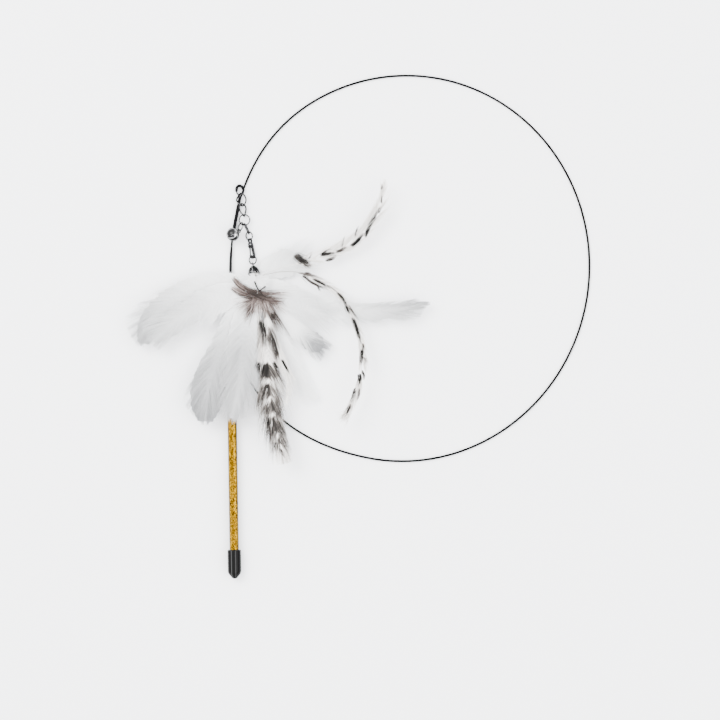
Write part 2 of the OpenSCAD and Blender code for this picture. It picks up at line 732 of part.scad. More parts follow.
// The lever turns on the pin, and its tip closes the hook
module clasp_lever() {
    boss_r = pin_r + pin_gap + clasp_spring_t;
    tip_y = gate_low_y + lever_gap;
    outer_x = -clasp_half_w + lever_gap;
    side_x = pin_x - boss_r;
    color(silver) hang(touch_5, clasp_way) translate([0, 0, lever_low]) difference() {
        union() {
            translate([pin_x, pin_y, 0]) cylinder(r = boss_r, h = lever_t);
            linear_extrude(lever_t) polygon([
                [pin_x - boss_r * lever_root_share, pin_y], [pin_x + boss_r * lever_root_share, pin_y],
                [pin_x + boss_r - lever_gap, gate_top_y], [outer_x + gate_half, tip_y], [outer_x, tip_y],
                [side_x - lever_gap, gate_top_y - tab_h], [side_x - tab_h, pin_y - tab_h]]);
        }
        translate([pin_x, pin_y, -lever_t]) cylinder(r = pin_r + pin_gap, h = 3 * lever_t);
    }
}

// The feather cap: a loop on a flared metal cup, with glue in its mouth
crown = link_gap / 2 + ear_wire_r - 2 * loop_ring_r;
module feather_cap() {
    color(silver) hang(touch_7, end_cap_way) {
        translate([0, crown + loop_ring_r, 0]) rotate([0, 90, 0])
            rotate_extrude() translate([loop_ring_r, 0]) circle(r = ear_wire_r, $fn = 24);
        translate([0, crown, 0]) rotate([90, 0, 0]) difference() {
            rotate_extrude() cap_profile(0);
            translate([0, 0, end_cap_wall]) rotate_extrude() cap_profile(end_cap_wall);
        }
    }
}

// Outline of the cup, from its crown to its mouth, drawn in by a wall
flare_shares = [[0, 0], [0.12, 0.42], [0.3, 0.7], [0.55, 0.86], [0.8, 0.95], [1, 1]];
module cap_profile(wall) {
    flare = end_cap_r - end_cap_crown_r;
    polygon(concat([[0, 0]],
        [for (s = flare_shares) [end_cap_crown_r - wall + flare * s[1], end_cap_len * s[0]]],
        [[0, end_cap_len]]));
}

mouth_y = crown - end_cap_len;
// How far the glue stops short of the cap's mouth
glue_back = 0.3;
glue_y = mouth_y + glue_back + glue_depth;
glue_share = (end_cap_len - glue_back - glue_depth - end_cap_wall) / end_cap_len;
glue_r = end_cap_crown_r - end_cap_wall - fit_gap
    + (end_cap_r - end_cap_crown_r) * lookup(glue_share, flare_shares);
module glue_plug() {
    color([0.9, 0.88, 0.8]) hang(touch_7, end_cap_way) translate([0, glue_y, 0])
        rotate([90, 0, 0]) cylinder(r = glue_r, h = glue_depth);
}
mouth_r = end_cap_r - end_cap_wall;
function quill_start(across, up) = placed(touch_7, end_cap_way,
    [across * mouth_r, mouth_y + glue_back / 2, up * mouth_r]);
mouth_mid = quill_start(0, 0);

// Feathers: a quill that leaves the mouth and bends to its heading, a spine
// that turns along its length, and a thin lens-shaped body whose width follows
// a list of shares
bend_steps = 4;
bend_step = 0.9;
spine_steps = 12;
spine_substeps = 5;
out_angle = -90;
// Corners of a feather's section, as shares of its half width and thickness
edge_shares = [[1, 0], [0.5, 1], [-0.5, 1], [-1, 0], [-0.5, -1], [0.5, -1]];
function walk(legs) = [for (i = 0, p = [0, 0]; i <= len(legs);
    p = p + (i < len(legs) ? legs[i] : [0, 0]), i = i + 1) p];
function spine_plan(length, heading, turn, power) =
    let (n = spine_steps * spine_substeps, step = length / n,
         swing = heading > 90 ? heading - 360 - out_angle : heading - out_angle,
         bend = walk([for (i = [0 : bend_steps - 1])
             let (a = out_angle + swing * i / bend_steps) bend_step * [cos(a), sin(a)]]),
         points = walk([for (i = [0 : n - 1]) let (a = heading + turn * pow((i + 0.5) / n, power))
             step * [cos(a), sin(a)]]))
    concat([for (i = [0 : bend_steps - 1]) bend[i]],
        [for (i = [0 : spine_steps]) bend[bend_steps] + points[i * spine_substeps]]);
// Width of a feather's body along its length
plume_shares = [[0, 0], [0.08, 0.02], [0.2, 0.45], [0.35, 0.8],
    [0.55, 1], [0.75, 0.95], [0.9, 0.7], [1, 0.2]];
hackle_shares = [[0, 0], [0.12, 0.05], [0.25, 0.75], [0.45, 1], [0.65, 0.85], [0.85, 0.5], [1, 0.08]];

// Way and seat of each feather, from the bundle as it lies spread
left_upper_way = [165.7, 67.6, 1, 3.4];
left_upper_seat_shares = [-0.75, -0.1];
left_lower_way = [-161.3, 23.4, 1, 4.6];
left_lower_seat_shares = [-0.68, 0.3];
handle_plume_way = [-118.7, 24.6, 2, 4.8];
handle_plume_seat_shares = [-0.45, 0.1];
middle_plume_way = [-96, -5.1, 1, 5.6];
middle_plume_seat_shares = [-0.22, 0.35];
under_plume_way = [-68, 10.1, 3, 1.5];
under_plume_seat_shares = [0.2, -0.55];
short_right_way = [-60, 25.6, 1, 2];
short_right_seat_shares = [0.3, -0.2];
fold_right_way = [-31.6, 6, 3, 3.5];
fold_right_seat_shares = [0.5, 0.05];
long_right_way = [-29.4, 40.4, 1, 2];
long_right_seat_shares = [0.7, -0.3];
upper_plume_way = [26.4, -12.2, 1, 2];
upper_plume_seat_shares = [0.5, -0.7];
barred_left_way = [-84.5, 12.6, 3, 5.2];
barred_left_seat_shares = [0, 0.62];
barred_right_way = [-71.6, -26.3, 1.5, 6.4];
barred_right_seat_shares = [0.3, 0.62];
curl_up_way = [13.9, 87.8, 3, 4];
curl_up_seat_shares = [0.8, 0.02];
curl_down_way = [14.7, -145.6, 1, 4];
curl_down_seat_shares = [0.45, 0.33];

// One feather's body. Its way is a heading in degrees where it leaves the mouth,
// how far it turns along its length, the power that the turn grows with, and
// its climb. Its seat places the quill in the mouth, across and up.
module feather(length, width, shares, way, seat_shares) {
    plan = spine_plan(length, way[0], way[1], way[2]);
    count = len(plan);
    shares_at = [for (i = [0 : count - 1]) max(i - bend_steps, 0) / spine_steps];
    spine = [for (i = [0 : count - 1]) [plan[i][0], plan[i][1], length * sin(way[3]) * shares_at[i]]];
    points = [for (i = [0 : count - 1]) let (
            t = ahead(spine, i, false),
            side = cross([0, 0, 1], t) / norm(cross([0, 0, 1], t)),
            half = (quill_w + (width - quill_w) * lookup(shares_at[i], shares)) / 2)
        each [for (c = edge_shares)
            spine[i] + half * c[0] * side + feather_t / 2 * c[1] * [0, 0, 1]]];
    translate(quill_start(seat_shares[0], seat_shares[1]))
        polyhedron(points = points, faces = concat(skin_faces(count, 6, false), end_faces(count, 6)));
}

module white_plume(length, width, way, seat_shares) {
    color(plume_white) feather(length, width, plume_shares, way, seat_shares);
}

module barred_feather(length, width, way, seat_shares) {
    color(barred_grey) feather(length, width, hackle_shares, way, seat_shares);
}

module left_upper_plume() {
    white_plume(left_upper_len, left_upper_w, left_upper_way, left_upper_seat_shares);
}

module left_lower_plume() {
    white_plume(left_lower_len, left_lower_w, left_lower_way, left_lower_seat_shares);
}

module handle_plume() {
    white_plume(handle_plume_len, handle_plume_w, handle_plume_way, handle_plume_seat_shares);
}

module middle_plume() {
    white_plume(middle_plume_len, middle_plume_w, middle_plume_way, middle_plume_seat_shares);
}

module under_plume() {
    white_plume(under_plume_len, under_plume_w, under_plume_way, under_plume_seat_shares);
}

module short_right_plume() {
    white_plume(short_right_len, short_right_w, short_right_way, short_right_seat_shares);
}

module fold_right_plume() {
    white_plume(fold_right_len, fold_right_w, fold_right_way, fold_right_seat_shares);
}

module long_right_plume() {
    white_plume(long_right_len, long_right_w, long_right_way, long_right_seat_shares);
}

module upper_plume() {
    white_plume(upper_plume_len, upper_plume_w, upper_plume_way, upper_plume_seat_shares);
}

module barred_left() {
    barred_feather(barred_left_len, barred_left_w, barred_left_way, barred_left_seat_shares);
}

module barred_right() {
    barred_feather(barred_right_len, barred_right_w, barred_right_way, barred_right_seat_shares);
}

module curl_up_feather() {
    barred_feather(curl_up_len, curl_up_w, curl_up_way, curl_up_seat_shares);
}

module curl_down_feather() {
    barred_feather(curl_down_len, curl_down_w, curl_down_way, curl_down_seat_shares);
}

// The brown down spreads over the quills like a flat lens
tuft_shift_shares = [0.1, -0.6];
tuft_seat_share = 1;
module down_tuft() {
    shift = [tuft_len * tuft_shift_shares[0], tuft_len * tuft_shift_shares[1],
        tuft_seat_share * end_cap_r + tuft_t / 2];
    color(down_brown) translate(mouth_mid + shift)
        scale([tuft_w, tuft_len, tuft_t]) sphere(d = 1, $fn = 24);
}

handle_tube();
foil_wrap();
butt_cap();
top_cap();
wire_plug();
wire_stop();
spring_wire();
tip_sleeve();
eye_sleeve();
link_1();
link_2();
bell_carrier_ring();
bell_hook_ring();
bell_top();
bell_bottom();
bell_ear();
bell_ball();
link_3();
clasp_ring();
clasp_body();
clasp_pin();
clasp_spring();
clasp_lever();
charm_ring();
feather_cap();
glue_plug();
left_upper_plume();
left_lower_plume();
handle_plume();
middle_plume();
under_plume();
short_right_plume();
fold_right_plume();
long_right_plume();
upper_plume();
barred_left();
barred_right();
curl_up_feather();
curl_down_feather();
down_tuft();
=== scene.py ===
"""Cat teaser wand: the looks of each piece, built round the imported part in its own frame."""
import json
import math
import bpy
import numpy as np
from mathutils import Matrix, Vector


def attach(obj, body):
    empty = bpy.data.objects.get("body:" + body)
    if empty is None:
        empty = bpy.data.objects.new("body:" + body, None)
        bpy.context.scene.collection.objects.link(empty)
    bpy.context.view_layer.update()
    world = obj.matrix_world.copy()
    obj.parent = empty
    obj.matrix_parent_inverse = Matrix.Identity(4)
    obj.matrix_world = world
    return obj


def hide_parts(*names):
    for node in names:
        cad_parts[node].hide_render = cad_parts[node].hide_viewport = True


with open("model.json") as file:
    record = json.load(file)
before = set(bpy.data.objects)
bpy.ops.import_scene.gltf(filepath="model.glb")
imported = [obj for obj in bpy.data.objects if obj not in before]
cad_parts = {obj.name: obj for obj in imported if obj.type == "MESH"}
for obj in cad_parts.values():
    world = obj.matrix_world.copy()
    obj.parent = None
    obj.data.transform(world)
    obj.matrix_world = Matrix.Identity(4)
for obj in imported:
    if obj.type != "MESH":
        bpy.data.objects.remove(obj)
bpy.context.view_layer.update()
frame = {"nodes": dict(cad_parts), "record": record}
MM = 0.001
TOUCH = {j["name"]: np.array(j["pos_m"]) / MM for j in frame["record"]["behaviour"]["joints"]}


# Materials
def material(name, rough=0.5, metal=0.0, colour=(0.8, 0.8, 0.8), coat=0.0, spec=0.5):
    """A node material with a Principled shader. Returns the material, its nodes, links and shader."""
    m = bpy.data.materials.new(name)
    m.use_nodes = True
    n, l = m.node_tree.nodes, m.node_tree.links
    b = n["Principled BSDF"]
    b.inputs["Base Color"].default_value = (*colour, 1)
    b.inputs["Roughness"].default_value = rough
    b.inputs["Metallic"].default_value = metal
    b.inputs["Coat Weight"].default_value = coat
    b.inputs["Specular IOR Level"].default_value = spec
    return m, n, l, b


def on_object(n, l, texture, scale, stretch=(1, 1, 1)):
    """Feeds a texture node with Object coordinates in millimetres, stretched per axis."""
    tc, mp = n.new("ShaderNodeTexCoord"), n.new("ShaderNodeMapping")
    mp.inputs["Scale"].default_value = [s / MM for s in stretch]
    texture.inputs["Scale"].default_value = scale
    l.new(tc.outputs["Object"], mp.inputs["Vector"])
    l.new(mp.outputs["Vector"], texture.inputs["Vector"])
    return mp


def noise(n, l, scale, detail=3.0, stretch=(1, 1, 1)):
    """Noise on Object coordinates in millimetres. Returns its Fac output."""
    nz = n.new("ShaderNodeTexNoise")
    nz.inputs["Detail"].default_value = detail
    on_object(n, l, nz, scale, stretch)
    return nz.outputs["Fac"]


def ramp(n, l, fac, stops):
    """A colour ramp through (position, grey or colour) stops."""
    r = n.new("ShaderNodeValToRGB")
    while len(r.color_ramp.elements) < len(stops):
        r.color_ramp.elements.new(0.5)
    for e, (p, c) in zip(r.color_ramp.elements, stops):
        e.position = p
        e.color = (*((c,) * 3 if isinstance(c, (int, float)) else c), 1)
    l.new(fac, r.inputs["Fac"])
    return r.outputs["Color"]


def bump(n, l, b, height, distance, strength=1.0):
    """Bump of that distance in metres on a shader's normal."""
    k = n.new("ShaderNodeBump")
    k.inputs["Distance"].default_value = distance
    k.inputs["Strength"].default_value = strength
    l.new(height, k.inputs["Height"])
    l.new(k.outputs["Normal"], b.inputs["Normal"])


def plain(name, colour, rough, metal=0.0, grain=0.3, depth=0.00002, coat=0.0, spread=0.12, spec=0.5):
    """A surface whose roughness and height vary a little with noise."""
    m, n, l, b = material(name, rough, metal, colour, coat, spec)
    f = noise(n, l, grain)
    l.new(ramp(n, l, f, [(0.3, max(rough - spread, 0)), (0.7, min(rough + spread, 1))]), b.inputs["Roughness"])
    bump(n, l, b, f, depth)
    return m


def times(n, l, a, b, share=1.0):
    """The product of two colours, taken to a share."""
    mix = n.new("ShaderNodeMix")
    mix.data_type, mix.blend_type = "RGBA", "MULTIPLY"
    mix.inputs["Factor"].default_value = share
    l.new(a, mix.inputs["A"])
    l.new(b, mix.inputs["B"])
    return mix.outputs["Result"]


def facing(n, l, way):
    """How far the surface faces a direction as the piece lies at rest: 1 towards it, 0 square to it."""
    tc, dot = n.new("ShaderNodeTexCoord"), n.new("ShaderNodeVectorMath")
    dot.operation = "DOT_PRODUCT"
    dot.inputs[1].default_value = Vector(way).normalized()
    l.new(tc.outputs["Normal"], dot.inputs[0])
    return dot.outputs["Value"]


def plated(name, pale, dark, rough, patch, painted_light_ramp, way=(0, 0, 1)):
    """Plated hardware: clear metal with duller, darker patches of tarnish and fine polishing marks. Over that, a ramp
    read by how far the surface faces the given way paints highlight and shade on it: it brightens or darkens the metal
    by that facing alone."""
    m, n, l, b = material(name, rough, 1.0, pale)
    f = noise(n, l, patch, 4.0)
    # Painted highlight and painted shade, by how far the surface faces the given way
    painted_light = ramp(n, l, facing(n, l, way), painted_light_ramp)
    l.new(times(n, l, ramp(n, l, f, [(0.36, dark), (0.6, pale)]), painted_light), b.inputs["Base Color"])
    l.new(ramp(n, l, f, [(0.35, rough + 0.14), (0.65, rough)]), b.inputs["Roughness"])
    bump(n, l, b, noise(n, l, 2.4, 2.0), 0.00002, 0.5)
    return m


def rubber_material():
    """Black rubber with two narrow painted highlights along the cap, left of its middle and a little right of it."""
    m, n, l, b = material("rubber_black", 0.17, 0.0, spec=0.05)
    # Painted highlights: two pale streaks by how far the surface faces +X across the cap
    side = n.new("ShaderNodeMapRange")
    side.inputs["From Min"].default_value = -1
    l.new(facing(n, l, (1, 0, 0)), side.inputs["Value"])
    l.new(ramp(n, l, side.outputs["Result"], [(0.24, 0.002), (0.3, 0.04), (0.35, 0.003), (0.56, 0.003), (0.61, 0.03),
                                              (0.66, 0.002)]), b.inputs["Base Color"])
    f = noise(n, l, 0.5)
    l.new(ramp(n, l, f, [(0.3, 0.13), (0.7, 0.21)]), b.inputs["Roughness"])
    bump(n, l, b, f, 0.00001)
    return m


def foil_material():
    """Gold foil: small cells of glitter, each with its own tilt and shade. Across the handle the glitter carries
    painted shade at its edges and along its middle, and a painted highlight in a thin line at its left."""
    m, n, l, b = material("foil_gold", 0.3, 1.0, (0.8, 0.46, 0.03))
    vo = n.new("ShaderNodeTexVoronoi")
    mp = on_object(n, l, vo, 1.6, (1, 1, 1))
    grey = n.new("ShaderNodeRGBToBW")
    l.new(vo.outputs["Color"], grey.inputs["Color"])
    glitter = ramp(n, l, grey.outputs["Val"], [(0.2, (0.02, 0.009, 0.0002)), (0.5, (0.14, 0.068, 0.001)),
                                              (0.8, (0.46, 0.27, 0.008))])
    # Painted shade and painted highlight across the handle: dark at its edges and along its middle, bright in a thin
    # line at its left
    xyz, span = n.new("ShaderNodeSeparateXYZ"), n.new("ShaderNodeMapRange")
    l.new(mp.outputs["Vector"], xyz.inputs["Vector"])
    span.inputs["From Min"].default_value, span.inputs["From Max"].default_value = -3.6, 3.6
    l.new(xyz.outputs["X"], span.inputs["Value"])
    across = ramp(n, l, span.outputs["Result"], [(0.03, (0.15, 0.14, 0.14)), (0.12, (0.4, 0.38, 0.3)), (0.17, (1.5, 1.5, 1.1)),
                                                 (0.24, (1.2, 1.15, 0.9)), (0.34, (0.6, 0.55, 0.45)), (0.6, (0.75, 0.7, 0.6)),
                                                 (0.78, (1.1, 1.1, 0.9)), (0.88, (0.5, 0.5, 0.45)), (1.0, (0.15, 0.15, 0.15))])
    l.new(times(n, l, glitter, across), b.inputs["Base Color"])
    bump(n, l, b, grey.outputs["Val"], 0.00014, 0.7)
    return m


def feather_material(name, stops, sheen=0.2, through=0.35):
    """A barb: its colour runs through the stops with the piece's own tone attribute, and light passes partly through."""
    m, n, l, b = material(name, 0.75, 0.0, stops[-1][1], spec=0.15)
    at = n.new("ShaderNodeAttribute")
    at.attribute_name = "tone"
    c = ramp(n, l, at.outputs["Fac"], stops)
    l.new(c, b.inputs["Base Color"])
    b.inputs["Sheen Weight"].default_value = sheen
    tr, mix = n.new("ShaderNodeBsdfTranslucent"), n.new("ShaderNodeMixShader")
    l.new(c, tr.inputs["Color"])
    mix.inputs["Fac"].default_value = through
    l.new(b.outputs["BSDF"], mix.inputs[1])
    l.new(tr.outputs["BSDF"], mix.inputs[2])
    l.new(mix.outputs["Shader"], n["Material Output"].inputs["Surface"])
    return m


RUBBER = rubber_material()
SLEEVE = plain("sleeve_black", (0.0015, 0.0015, 0.002), 0.3, grain=0.5, depth=0.00001, spec=0.04, spread=0.05)
WIRE = plain("wire_black", (0.0015, 0.0015, 0.002), 0.4, grain=0.8, spec=0.05)
# Its facing ramp paints a highlight on the top of each wire and painted shade at its sides
NICKEL = plated("nickel", (0.045, 0.045, 0.046), (0.01, 0.01, 0.011), 0.12, 0.5, ((0.7, 0.05), (0.9, 0.5), (1.0, 2.2)))
# Its facing ramp paints shade round the bell's rim and centre and a bright crescent of highlight between them
BELL = plated("bell_nickel", (0.5, 0.5, 0.5), (0.3, 0.3, 0.3), 0.2, 0.25,
              ((0.2, 0.02), (0.42, 0.03), (0.52, 0.9), (0.68, 0.8), (0.78, 0.07), (1.0, 0.05)), (-0.35, 0.3, 0.9))
# Its facing ramp paints shade at the clasp's sides
CLASP = plated("clasp_nickel", (0.13, 0.13, 0.134), (0.03, 0.03, 0.032), 0.2, 0.4, ((0.7, 0.25), (0.95, 1.0)))
STEEL = plain("steel", (0.5, 0.5, 0.52), 0.3, 1.0, grain=0.9)
TUBE = plain("tube_plastic", (0.85, 0.83, 0.76), 0.4)
PLUG = plain("plug_plastic", (0.05, 0.05, 0.05), 0.6)
GLUE = plain("glue_clear", (0.78, 0.76, 0.68), 0.2, coat=0.5)
FOIL = foil_material()
WHITE = feather_material("feather_white", [(0, (0.22, 0.223, 0.23)), (1, (0.94, 0.945, 0.94))])
BARRED = feather_material("feather_barred", [(0, (0.005, 0.0045, 0.004)), (0.35, (0.035, 0.031, 0.028)),
                                             (0.7, (0.24, 0.215, 0.195)), (1, (0.88, 0.855, 0.82))], 0.04, 0.12)
DOWN = feather_material("feather_down", [(0, (0.005, 0.004, 0.003)), (0.35, (0.04, 0.029, 0.025)),
                                         (0.7, (0.26, 0.205, 0.185)), (1, (0.86, 0.79, 0.75))], 0.04, 0.12)


# Mesh helpers
def piece(name, co, quads, mat, body, nodes=(), slot=None, tone=None, smooth=True):
    """A mesh piece from points in millimetres and four-cornered faces."""
    me = bpy.data.meshes.new(name)
    co = np.asarray(co, float) * MM
    quads = np.asarray(quads, np.int32)
    me.vertices.add(len(co))
    me.vertices.foreach_set("co", co.ravel())
    me.loops.add(quads.size)
    me.loops.foreach_set("vertex_index", quads.ravel())
    me.polygons.add(len(quads))
    me.polygons.foreach_set("loop_start", np.arange(0, quads.size, 4, dtype=np.int32))
    me.update(calc_edges=True)
    me.validate()
    me.polygons.foreach_set("use_smooth", np.full(len(me.polygons), smooth))
    if tone is not None:
        me.attributes.new("tone", "FLOAT", "POINT").data.foreach_set("value", np.asarray(tone, np.float32).ravel())
    me.materials.append(mat)
    o = bpy.data.objects.new(name, me)
    bpy.context.scene.collection.objects.link(o)
    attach(o, body)
    if nodes:
        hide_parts(*nodes)
    return o


def grid_quads(rows, cols, wrap_rows=False, wrap_cols=True, flip=False):
    """Faces of a grid of rows by cols points, closed round where asked."""
    r = np.arange(rows if wrap_rows else rows - 1)[:, None]
    c = np.arange(cols if wrap_cols else cols - 1)[None, :]
    a, b = r * cols + c, r * cols + (c + 1) % cols
    d, e = ((r + 1) % rows) * cols + c, ((r + 1) % rows) * cols + (c + 1) % cols
    q = np.stack([a, b, e, d], -1).reshape(-1, 4)
    return q[:, ::-1] if flip else q


def directions(p, closed=False):
    """Unit directions along a path, from its neighbouring points."""
    if closed:
        d = np.roll(p, -1, 0) - np.roll(p, 1, 0)
    else:
        d = np.gradient(p, axis=0)
    return d / np.linalg.norm(d, axis=1, keepdims=True)


def sweep(path, radius, sides=16, closed=False, out=(0, 0, 1)):
    """A round tube along a path: each ring is path + radius * (across cos k + up sin k), where across is square to
    the direction and to out. Open ends close to a point."""
    p = np.asarray(path, float)
    r = np.broadcast_to(np.asarray(radius, float), (len(p),)).copy()
    if not closed:
        p = np.vstack([p[0], p, p[-1]])
        r = np.concatenate([[0], r, [0]])
        t = directions(p[1:-1])
        t = np.vstack([t[0], t, t[-1]])
    else:
        t = directions(p, True)
    o = np.broadcast_to(np.asarray(out, float), p.shape) if np.ndim(out) == 1 else np.asarray(out)
    if not closed and len(o) != len(p):
        o = np.vstack([o[0], o, o[-1]])
    u = np.cross(t, o)
    u /= np.linalg.norm(u, axis=1, keepdims=True)
    v = np.cross(u, t)
    k = np.linspace(0, 2 * np.pi, sides, endpoint=False)
    ring = u[:, None, :] * np.cos(k)[None, :, None] + v[:, None, :] * np.sin(k)[None, :, None]
    co = p[:, None, :] + r[:, None, None] * ring
    return co.reshape(-1, 3), grid_quads(len(p), sides, wrap_rows=closed, flip=True)


def revolve(profile, sides=64):
    """A surface of revolution round Z from (radius, height) points: (r cos k, r sin k, h)."""
    f = np.asarray(profile, float)
    k = np.linspace(0, 2 * np.pi, sides, endpoint=False)
    co = np.stack([f[:, :1] * np.cos(k), f[:, :1] * np.sin(k), np.repeat(f[:, 1:2], sides, 1)], -1)
    return co.reshape(-1, 3), grid_quads(len(f), sides)


def rounded(points, r=0.3, steps=5):
    """A (radius, height) outline whose inner corners are rounded by quadratic curves of about r."""
    p = np.asarray(points, float)
    out = [p[0]]
    for a, b, c in zip(p[:-2], p[1:-1], p[2:]):
        la, lc = np.linalg.norm(a - b), np.linalg.norm(c - b)
        k = min(r, la * 0.45, lc * 0.45)
        s, e = b + (a - b) / la * k, b + (c - b) / lc * k
        out += [(1 - t) ** 2 * s + 2 * t * (1 - t) * b + t * t * e for t in np.linspace(0, 1, steps)]
    return np.array(out + [p[-1]])


def join(*parts):
    """Several (points, faces) pairs as one."""
    co, q, n = [], [], 0
    for c, f in parts:
        co.append(c)
        q.append(np.asarray(f) + n)
        n += len(c)
    return np.vstack(co), np.vstack(q)


def spin(p, axis, angle):
    """Points turned about a main axis (0 x, 1 y, 2 z) by an angle in degrees."""
    c, s = math.cos(math.radians(angle)), math.sin(math.radians(angle))
    i, j = [(1, 2), (2, 0), (0, 1)][axis]
    q = np.array(p, float)
    q[..., i], q[..., j] = p[..., i] * c - p[..., j] * s, p[..., i] * s + p[..., j] * c
    return q


def placed(at, way, p):
    """Points drawn along -Y from a touching point, rolled, pitched and turned as the CAD chain is."""
    return np.asarray(at) + spin(spin(spin(np.asarray(p, float), 1, way[2]), 0, -way[1]), 2, way[0])


def along_y(cq, y0=0.0, back=False):
    """Turns a shape drawn along +Z to run along +Y, or along -Y where back is set."""
    co, q = cq
    if back:
        return np.stack([co[:, 0], y0 - co[:, 2], co[:, 1]], -1), q
    return np.stack([co[:, 0], y0 + co[:, 2], -co[:, 1]], -1), q


def ease(t):
    """A smooth step: t squared times (3 - 2t), held at 0 and 1 outside."""
    t = np.clip(t, 0, 1)
    return t * t * (3 - 2 * t)


def cubic(p, t):
    """Points on a cubic curve with four control points."""
    t = np.asarray(t)[:, None]
    p = np.asarray(p, float)
    return (1 - t) ** 3 * p[0] + 3 * (1 - t) ** 2 * t * p[1] + 3 * (1 - t) * t * t * p[2] + t ** 3 * p[3]


# The handle
TUBE_LEN, FOIL_R, GRIP_R = 148, 3.5, 5.1
CAP_REACH = 16
cap_outline = [(FOIL_R + 0.02, 0), (4.6, 0), (5.08, 0.5), (GRIP_R, 9), (5.08, 16.6)]
butt = rounded(cap_outline + [(4.4, 18.2), (1.6, 21.6), (0, 21.8)], 0.9)
nose = rounded(cap_outline + [(4.2, 18.4), (1.5, 23.4), (1.1, 24.0), (0.58, 24.0), (0.58, 22)], 0.8)
bore = [FOIL_R + 0.02, CAP_REACH + 0.02]
butt = np.vstack([[0, bore[1]], bore, butt])
nose = np.vstack([bore, nose, [0.58, bore[1]], bore])
piece("butt_cap_skin", *along_y(revolve(butt), CAP_REACH, True), RUBBER, "wand", ["butt_cap"], "rubber_black")
piece("top_cap_skin", *along_y(revolve(nose), TUBE_LEN - CAP_REACH), RUBBER, "wand", ["top_cap"], "rubber_black")
foil = rounded([(3.35, 0.2), (FOIL_R, 0.2), (FOIL_R, TUBE_LEN - 0.2), (3.35, TUBE_LEN - 0.2)], 0.05)
foil = np.vstack([foil, foil[:1]])
piece("foil_skin", *along_y(revolve(foil, 72)), FOIL, "wand", ["foil_wrap"], "foil_gold")

# The spring wire: a lead, a leaning elliptical loop, the way back beside the lead, and the eye
WIRE_R, LEG_HALF, COAT = 0.55, 0.58, 0.3
TABLE = -5.1 + WIRE_R
LOOP_MID, LOOP_RX, LOOP_RY, LEAN = (131, 225), 139, 145, math.radians(-9)
JOIN, LEAVE = 124, -93
MEET_Y, SLEEVE_Y, SLEEVE_LEN = 195, 248, 27
STACK_SIDE, STACK_RISE, SINK = 1.3, 1.65, 90


def loop_point(a):
    """A point on the leaning ellipse at angle a in degrees."""
    a = np.radians(a)
    x, y, c, s = LOOP_RX * np.cos(a), LOOP_RY * np.sin(a), math.cos(LEAN), math.sin(LEAN)
    return np.stack([LOOP_MID[0] + x * c - y * s, LOOP_MID[1] + x * s + y * c], -1)


def loop_ahead(a):
    """Unit direction of clockwise travel on the ellipse at angle a."""
    d = loop_point(a - 0.01) - loop_point(a + 0.01)
    return d / np.linalg.norm(d)


nose_y = TUBE_LEN - CAP_REACH + 24
lead_end, join_at, leave_at = [0, nose_y + 54], loop_point(JOIN), loop_point(LEAVE)
lead = np.vstack([
    np.stack([np.zeros(12), np.linspace(nose_y, lead_end[1], 12, endpoint=False)], -1),
    cubic([lead_end, [0, lead_end[1] + 14], join_at - 88 * loop_ahead(JOIN), join_at],
          np.linspace(0, 1, 80, endpoint=False))])
out_plan = np.vstack([lead, loop_point(np.linspace(JOIN, LEAVE, 220, endpoint=False))])
run = np.concatenate([[0], np.cumsum(np.linalg.norm(np.diff(out_plan, axis=0), axis=1))])
out_route = np.column_stack([out_plan, TABLE * ease(run / SINK)])


def on_lead(y, aside=0.0, rise=0.0):
    """The lead's place at distances y along the handle's axis, moved aside and raised."""
    y = np.atleast_1d(np.asarray(y, float))
    k = len(lead)
    return np.column_stack([np.interp(y, lead[:, 1], lead[:, 0]) + aside, y,
                            np.interp(y, lead[:, 1], out_route[:k, 2]) + rise])


meet = on_lead(MEET_Y)[0]
u = np.linspace(0, 1, 60, endpoint=False)
back = cubic([leave_at, leave_at + 68 * loop_ahead(LEAVE), [STACK_SIDE, MEET_Y - 54], [STACK_SIDE, MEET_Y]], u)
back_route = np.column_stack([back, TABLE + (meet[2] - TABLE) * ease(u)])
k = ease(np.linspace(0, 1, 25))
stack_route = on_lead(np.linspace(MEET_Y, SLEEVE_Y - 4 * WIRE_R, 25), STACK_SIDE + (LEG_HALF - STACK_SIDE) * k,
                      STACK_RISE * k)
sleeve_low = on_lead(SLEEVE_Y, 0, STACK_RISE)[0]
chord = on_lead(SLEEVE_Y + SLEEVE_LEN, 0, STACK_RISE)[0] - sleeve_low
turn = math.atan2(chord[0], chord[1])
AHEAD, RIGHT = np.array([math.sin(turn), math.cos(turn), 0]), np.array([math.cos(turn), -math.sin(turn), 0])
EYE_RX, EYE_RY, EYE_U, EYE_SIDE, EYE_LEAN, EYE_OPEN = 2.65, 3.75, SLEEVE_LEN + 11, -0.95, math.radians(18), 62


def from_sleeve(a, b):
    """Points a along the sleeve and b to its right, in millimetres."""
    return sleeve_low + np.multiply.outer(a, AHEAD) + np.multiply.outer(b, RIGHT)


def eye(a):
    """The eye's oval at angle a in degrees: (rx cos a, ry sin a), leaning to the right of the sleeve's line."""
    a = np.radians(a)
    x, y, c, s = EYE_RX * np.cos(a), EYE_RY * np.sin(a), math.cos(EYE_LEAN), math.sin(EYE_LEAN)
    return from_sleeve(EYE_U + x * s + y * c, EYE_SIDE + x * c - y * s)


def neck(side):
    """A leg of wire from the sleeve's end to the eye, as a cubic curve."""
    end = -EYE_OPEN if side > 0 else 180 + EYE_OPEN
    tip = eye(end)
    way = eye(end - side) - eye(end + side)
    way /= np.linalg.norm(way)
    foot = EYE_U - EYE_RY - 2 * WIRE_R
    return cubic([from_sleeve(foot, side * LEG_HALF), from_sleeve(foot + WIRE_R, side * LEG_HALF), tip + WIRE_R * way, tip],
                 np.linspace(0, 1, 8, endpoint=False))


